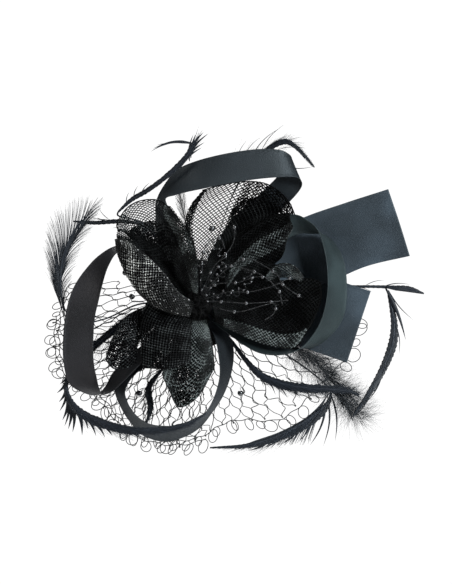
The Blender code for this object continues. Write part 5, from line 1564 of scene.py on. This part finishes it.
# The headpiece is held up by its clip, so the floor lies well below it
FLOOR_DROP = 900.0 * MM
FLOOR_REACH = 6.0
# The brightness of the world as the camera sees it, and as it lights the object from below to above
BACKDROP = 1.05
SKY_STRENGTH = 0.4
SKY = ((0.10, 0.11, 0.12, 1), (0.62, 0.66, 0.70, 1))
OBJECT_MIDDLE = (0.02, -0.02, 0.0)
# Each light's name, place, size, power, colour and aim
LIGHTS = [
    ("key", (0.85, -0.9, 0.3), 0.42, 25.0, (0.88, 0.96, 1.0), OBJECT_MIDDLE),
    ("top", (0.1, -0.5, 1.1), 0.5, 5.0, (0.95, 0.98, 1.0), OBJECT_MIDDLE),
    ("low", (0.35, -0.6, -0.8), 0.5, 2.5, (0.9, 0.96, 1.0), OBJECT_MIDDLE),
    ("left", (-1.0, -0.7, 0.35), 0.4, 4.0, (1.0, 0.98, 0.95), OBJECT_MIDDLE),
    ("behind", (0.1, 0.9, 0.5), 0.6, 9.0, (1.0, 1.0, 1.0), OBJECT_MIDDLE),
    ("floor_light", (0.0, 0.0, -0.5), 10.0, 110.0, (1.0, 1.0, 1.0), (0.0, 0.0, -2.0)),
]


def placed(name, data):
    made = bpy.data.objects.new(name, data)
    bpy.context.scene.collection.objects.link(made)
    return made


def make_camera():
    data = bpy.data.cameras.new("camera")
    data.lens, data.sensor_width, data.sensor_fit = LENS, SENSOR, "AUTO"
    data.clip_start, data.clip_end = 0.05, 50.0
    camera = placed("camera", data)
    distance = VIEW_HEIGHT * LENS / SENSOR
    camera.location = (VIEW_CENTRE[0], OBJECT_PLANE - distance, VIEW_CENTRE[1])
    camera.rotation_euler = (math.pi / 2, 0, 0)
    bpy.context.scene.camera = camera


def area_light(name, place, size, power, colour, aim):
    data = bpy.data.lights.new(name, "AREA")
    data.shape, data.size, data.energy, data.color = "DISK", size, power, colour
    light = placed(name, data)
    light.location = place
    light.rotation_euler = (Vector(aim) - light.location).to_track_quat("-Z", "Y").to_euler()


def make_world():
    """A world that is white to the camera and lights the object softly, more from above than from below."""
    world = bpy.data.worlds.new("studio")
    bpy.context.scene.world = world
    world.use_nodes = True
    tree = world.node_tree
    tree.nodes.clear()
    kinds = ("LightPath", "MixShader", "OutputWorld", "TexCoord", "SeparateXYZ", "ValToRGB")
    nodes = {kind: tree.nodes.new(f"ShaderNode{kind}") for kind in kinds}
    shown, lit = tree.nodes.new("ShaderNodeBackground"), tree.nodes.new("ShaderNodeBackground")
    shown.inputs["Color"].default_value = (1.0, 1.0, 1.0, 1.0)
    shown.inputs["Strength"].default_value = BACKDROP
    lit.inputs["Strength"].default_value = SKY_STRENGTH
    for element, place, colour in zip(nodes["ValToRGB"].color_ramp.elements, (0.0, 1.0), SKY):
        element.position, element.color = place, colour
    for source, target in (
        (nodes["TexCoord"].outputs["Generated"], nodes["SeparateXYZ"].inputs["Vector"]),
        (nodes["SeparateXYZ"].outputs["Z"], nodes["ValToRGB"].inputs["Fac"]),
        (nodes["ValToRGB"].outputs["Color"], lit.inputs["Color"]),
        (nodes["LightPath"].outputs["Is Camera Ray"], nodes["MixShader"].inputs[0]),
        (lit.outputs[0], nodes["MixShader"].inputs[1]),
        (shown.outputs[0], nodes["MixShader"].inputs[2]),
        (nodes["MixShader"].outputs[0], nodes["OutputWorld"].inputs["Surface"]),
    ):
        tree.links.new(source, target)


def make_floor():
    mesh = bpy.data.meshes.new("floor")
    height = CAD_BOX[0][2] - FLOOR_DROP
    sides = ((-1, -1), (1, -1), (1, 1), (-1, 1))
    mesh.from_pydata([(x * FLOOR_REACH, y * FLOOR_REACH, height) for x, y in sides], [], [(0, 1, 2, 3)])
    floor = placed("floor", mesh)
    floor.data.materials.append(floor_look())


def make_stage():
    make_world()
    for light in LIGHTS:
        area_light(*light)
    bpy.context.scene.view_settings.view_transform = "Standard"
    make_floor()


make_camera()
make_base()
make_spring()
make_stitches()
make_heart()
make_ribbons()
make_petals()
make_veil()
make_feathers()
make_stamens()
make_stage()
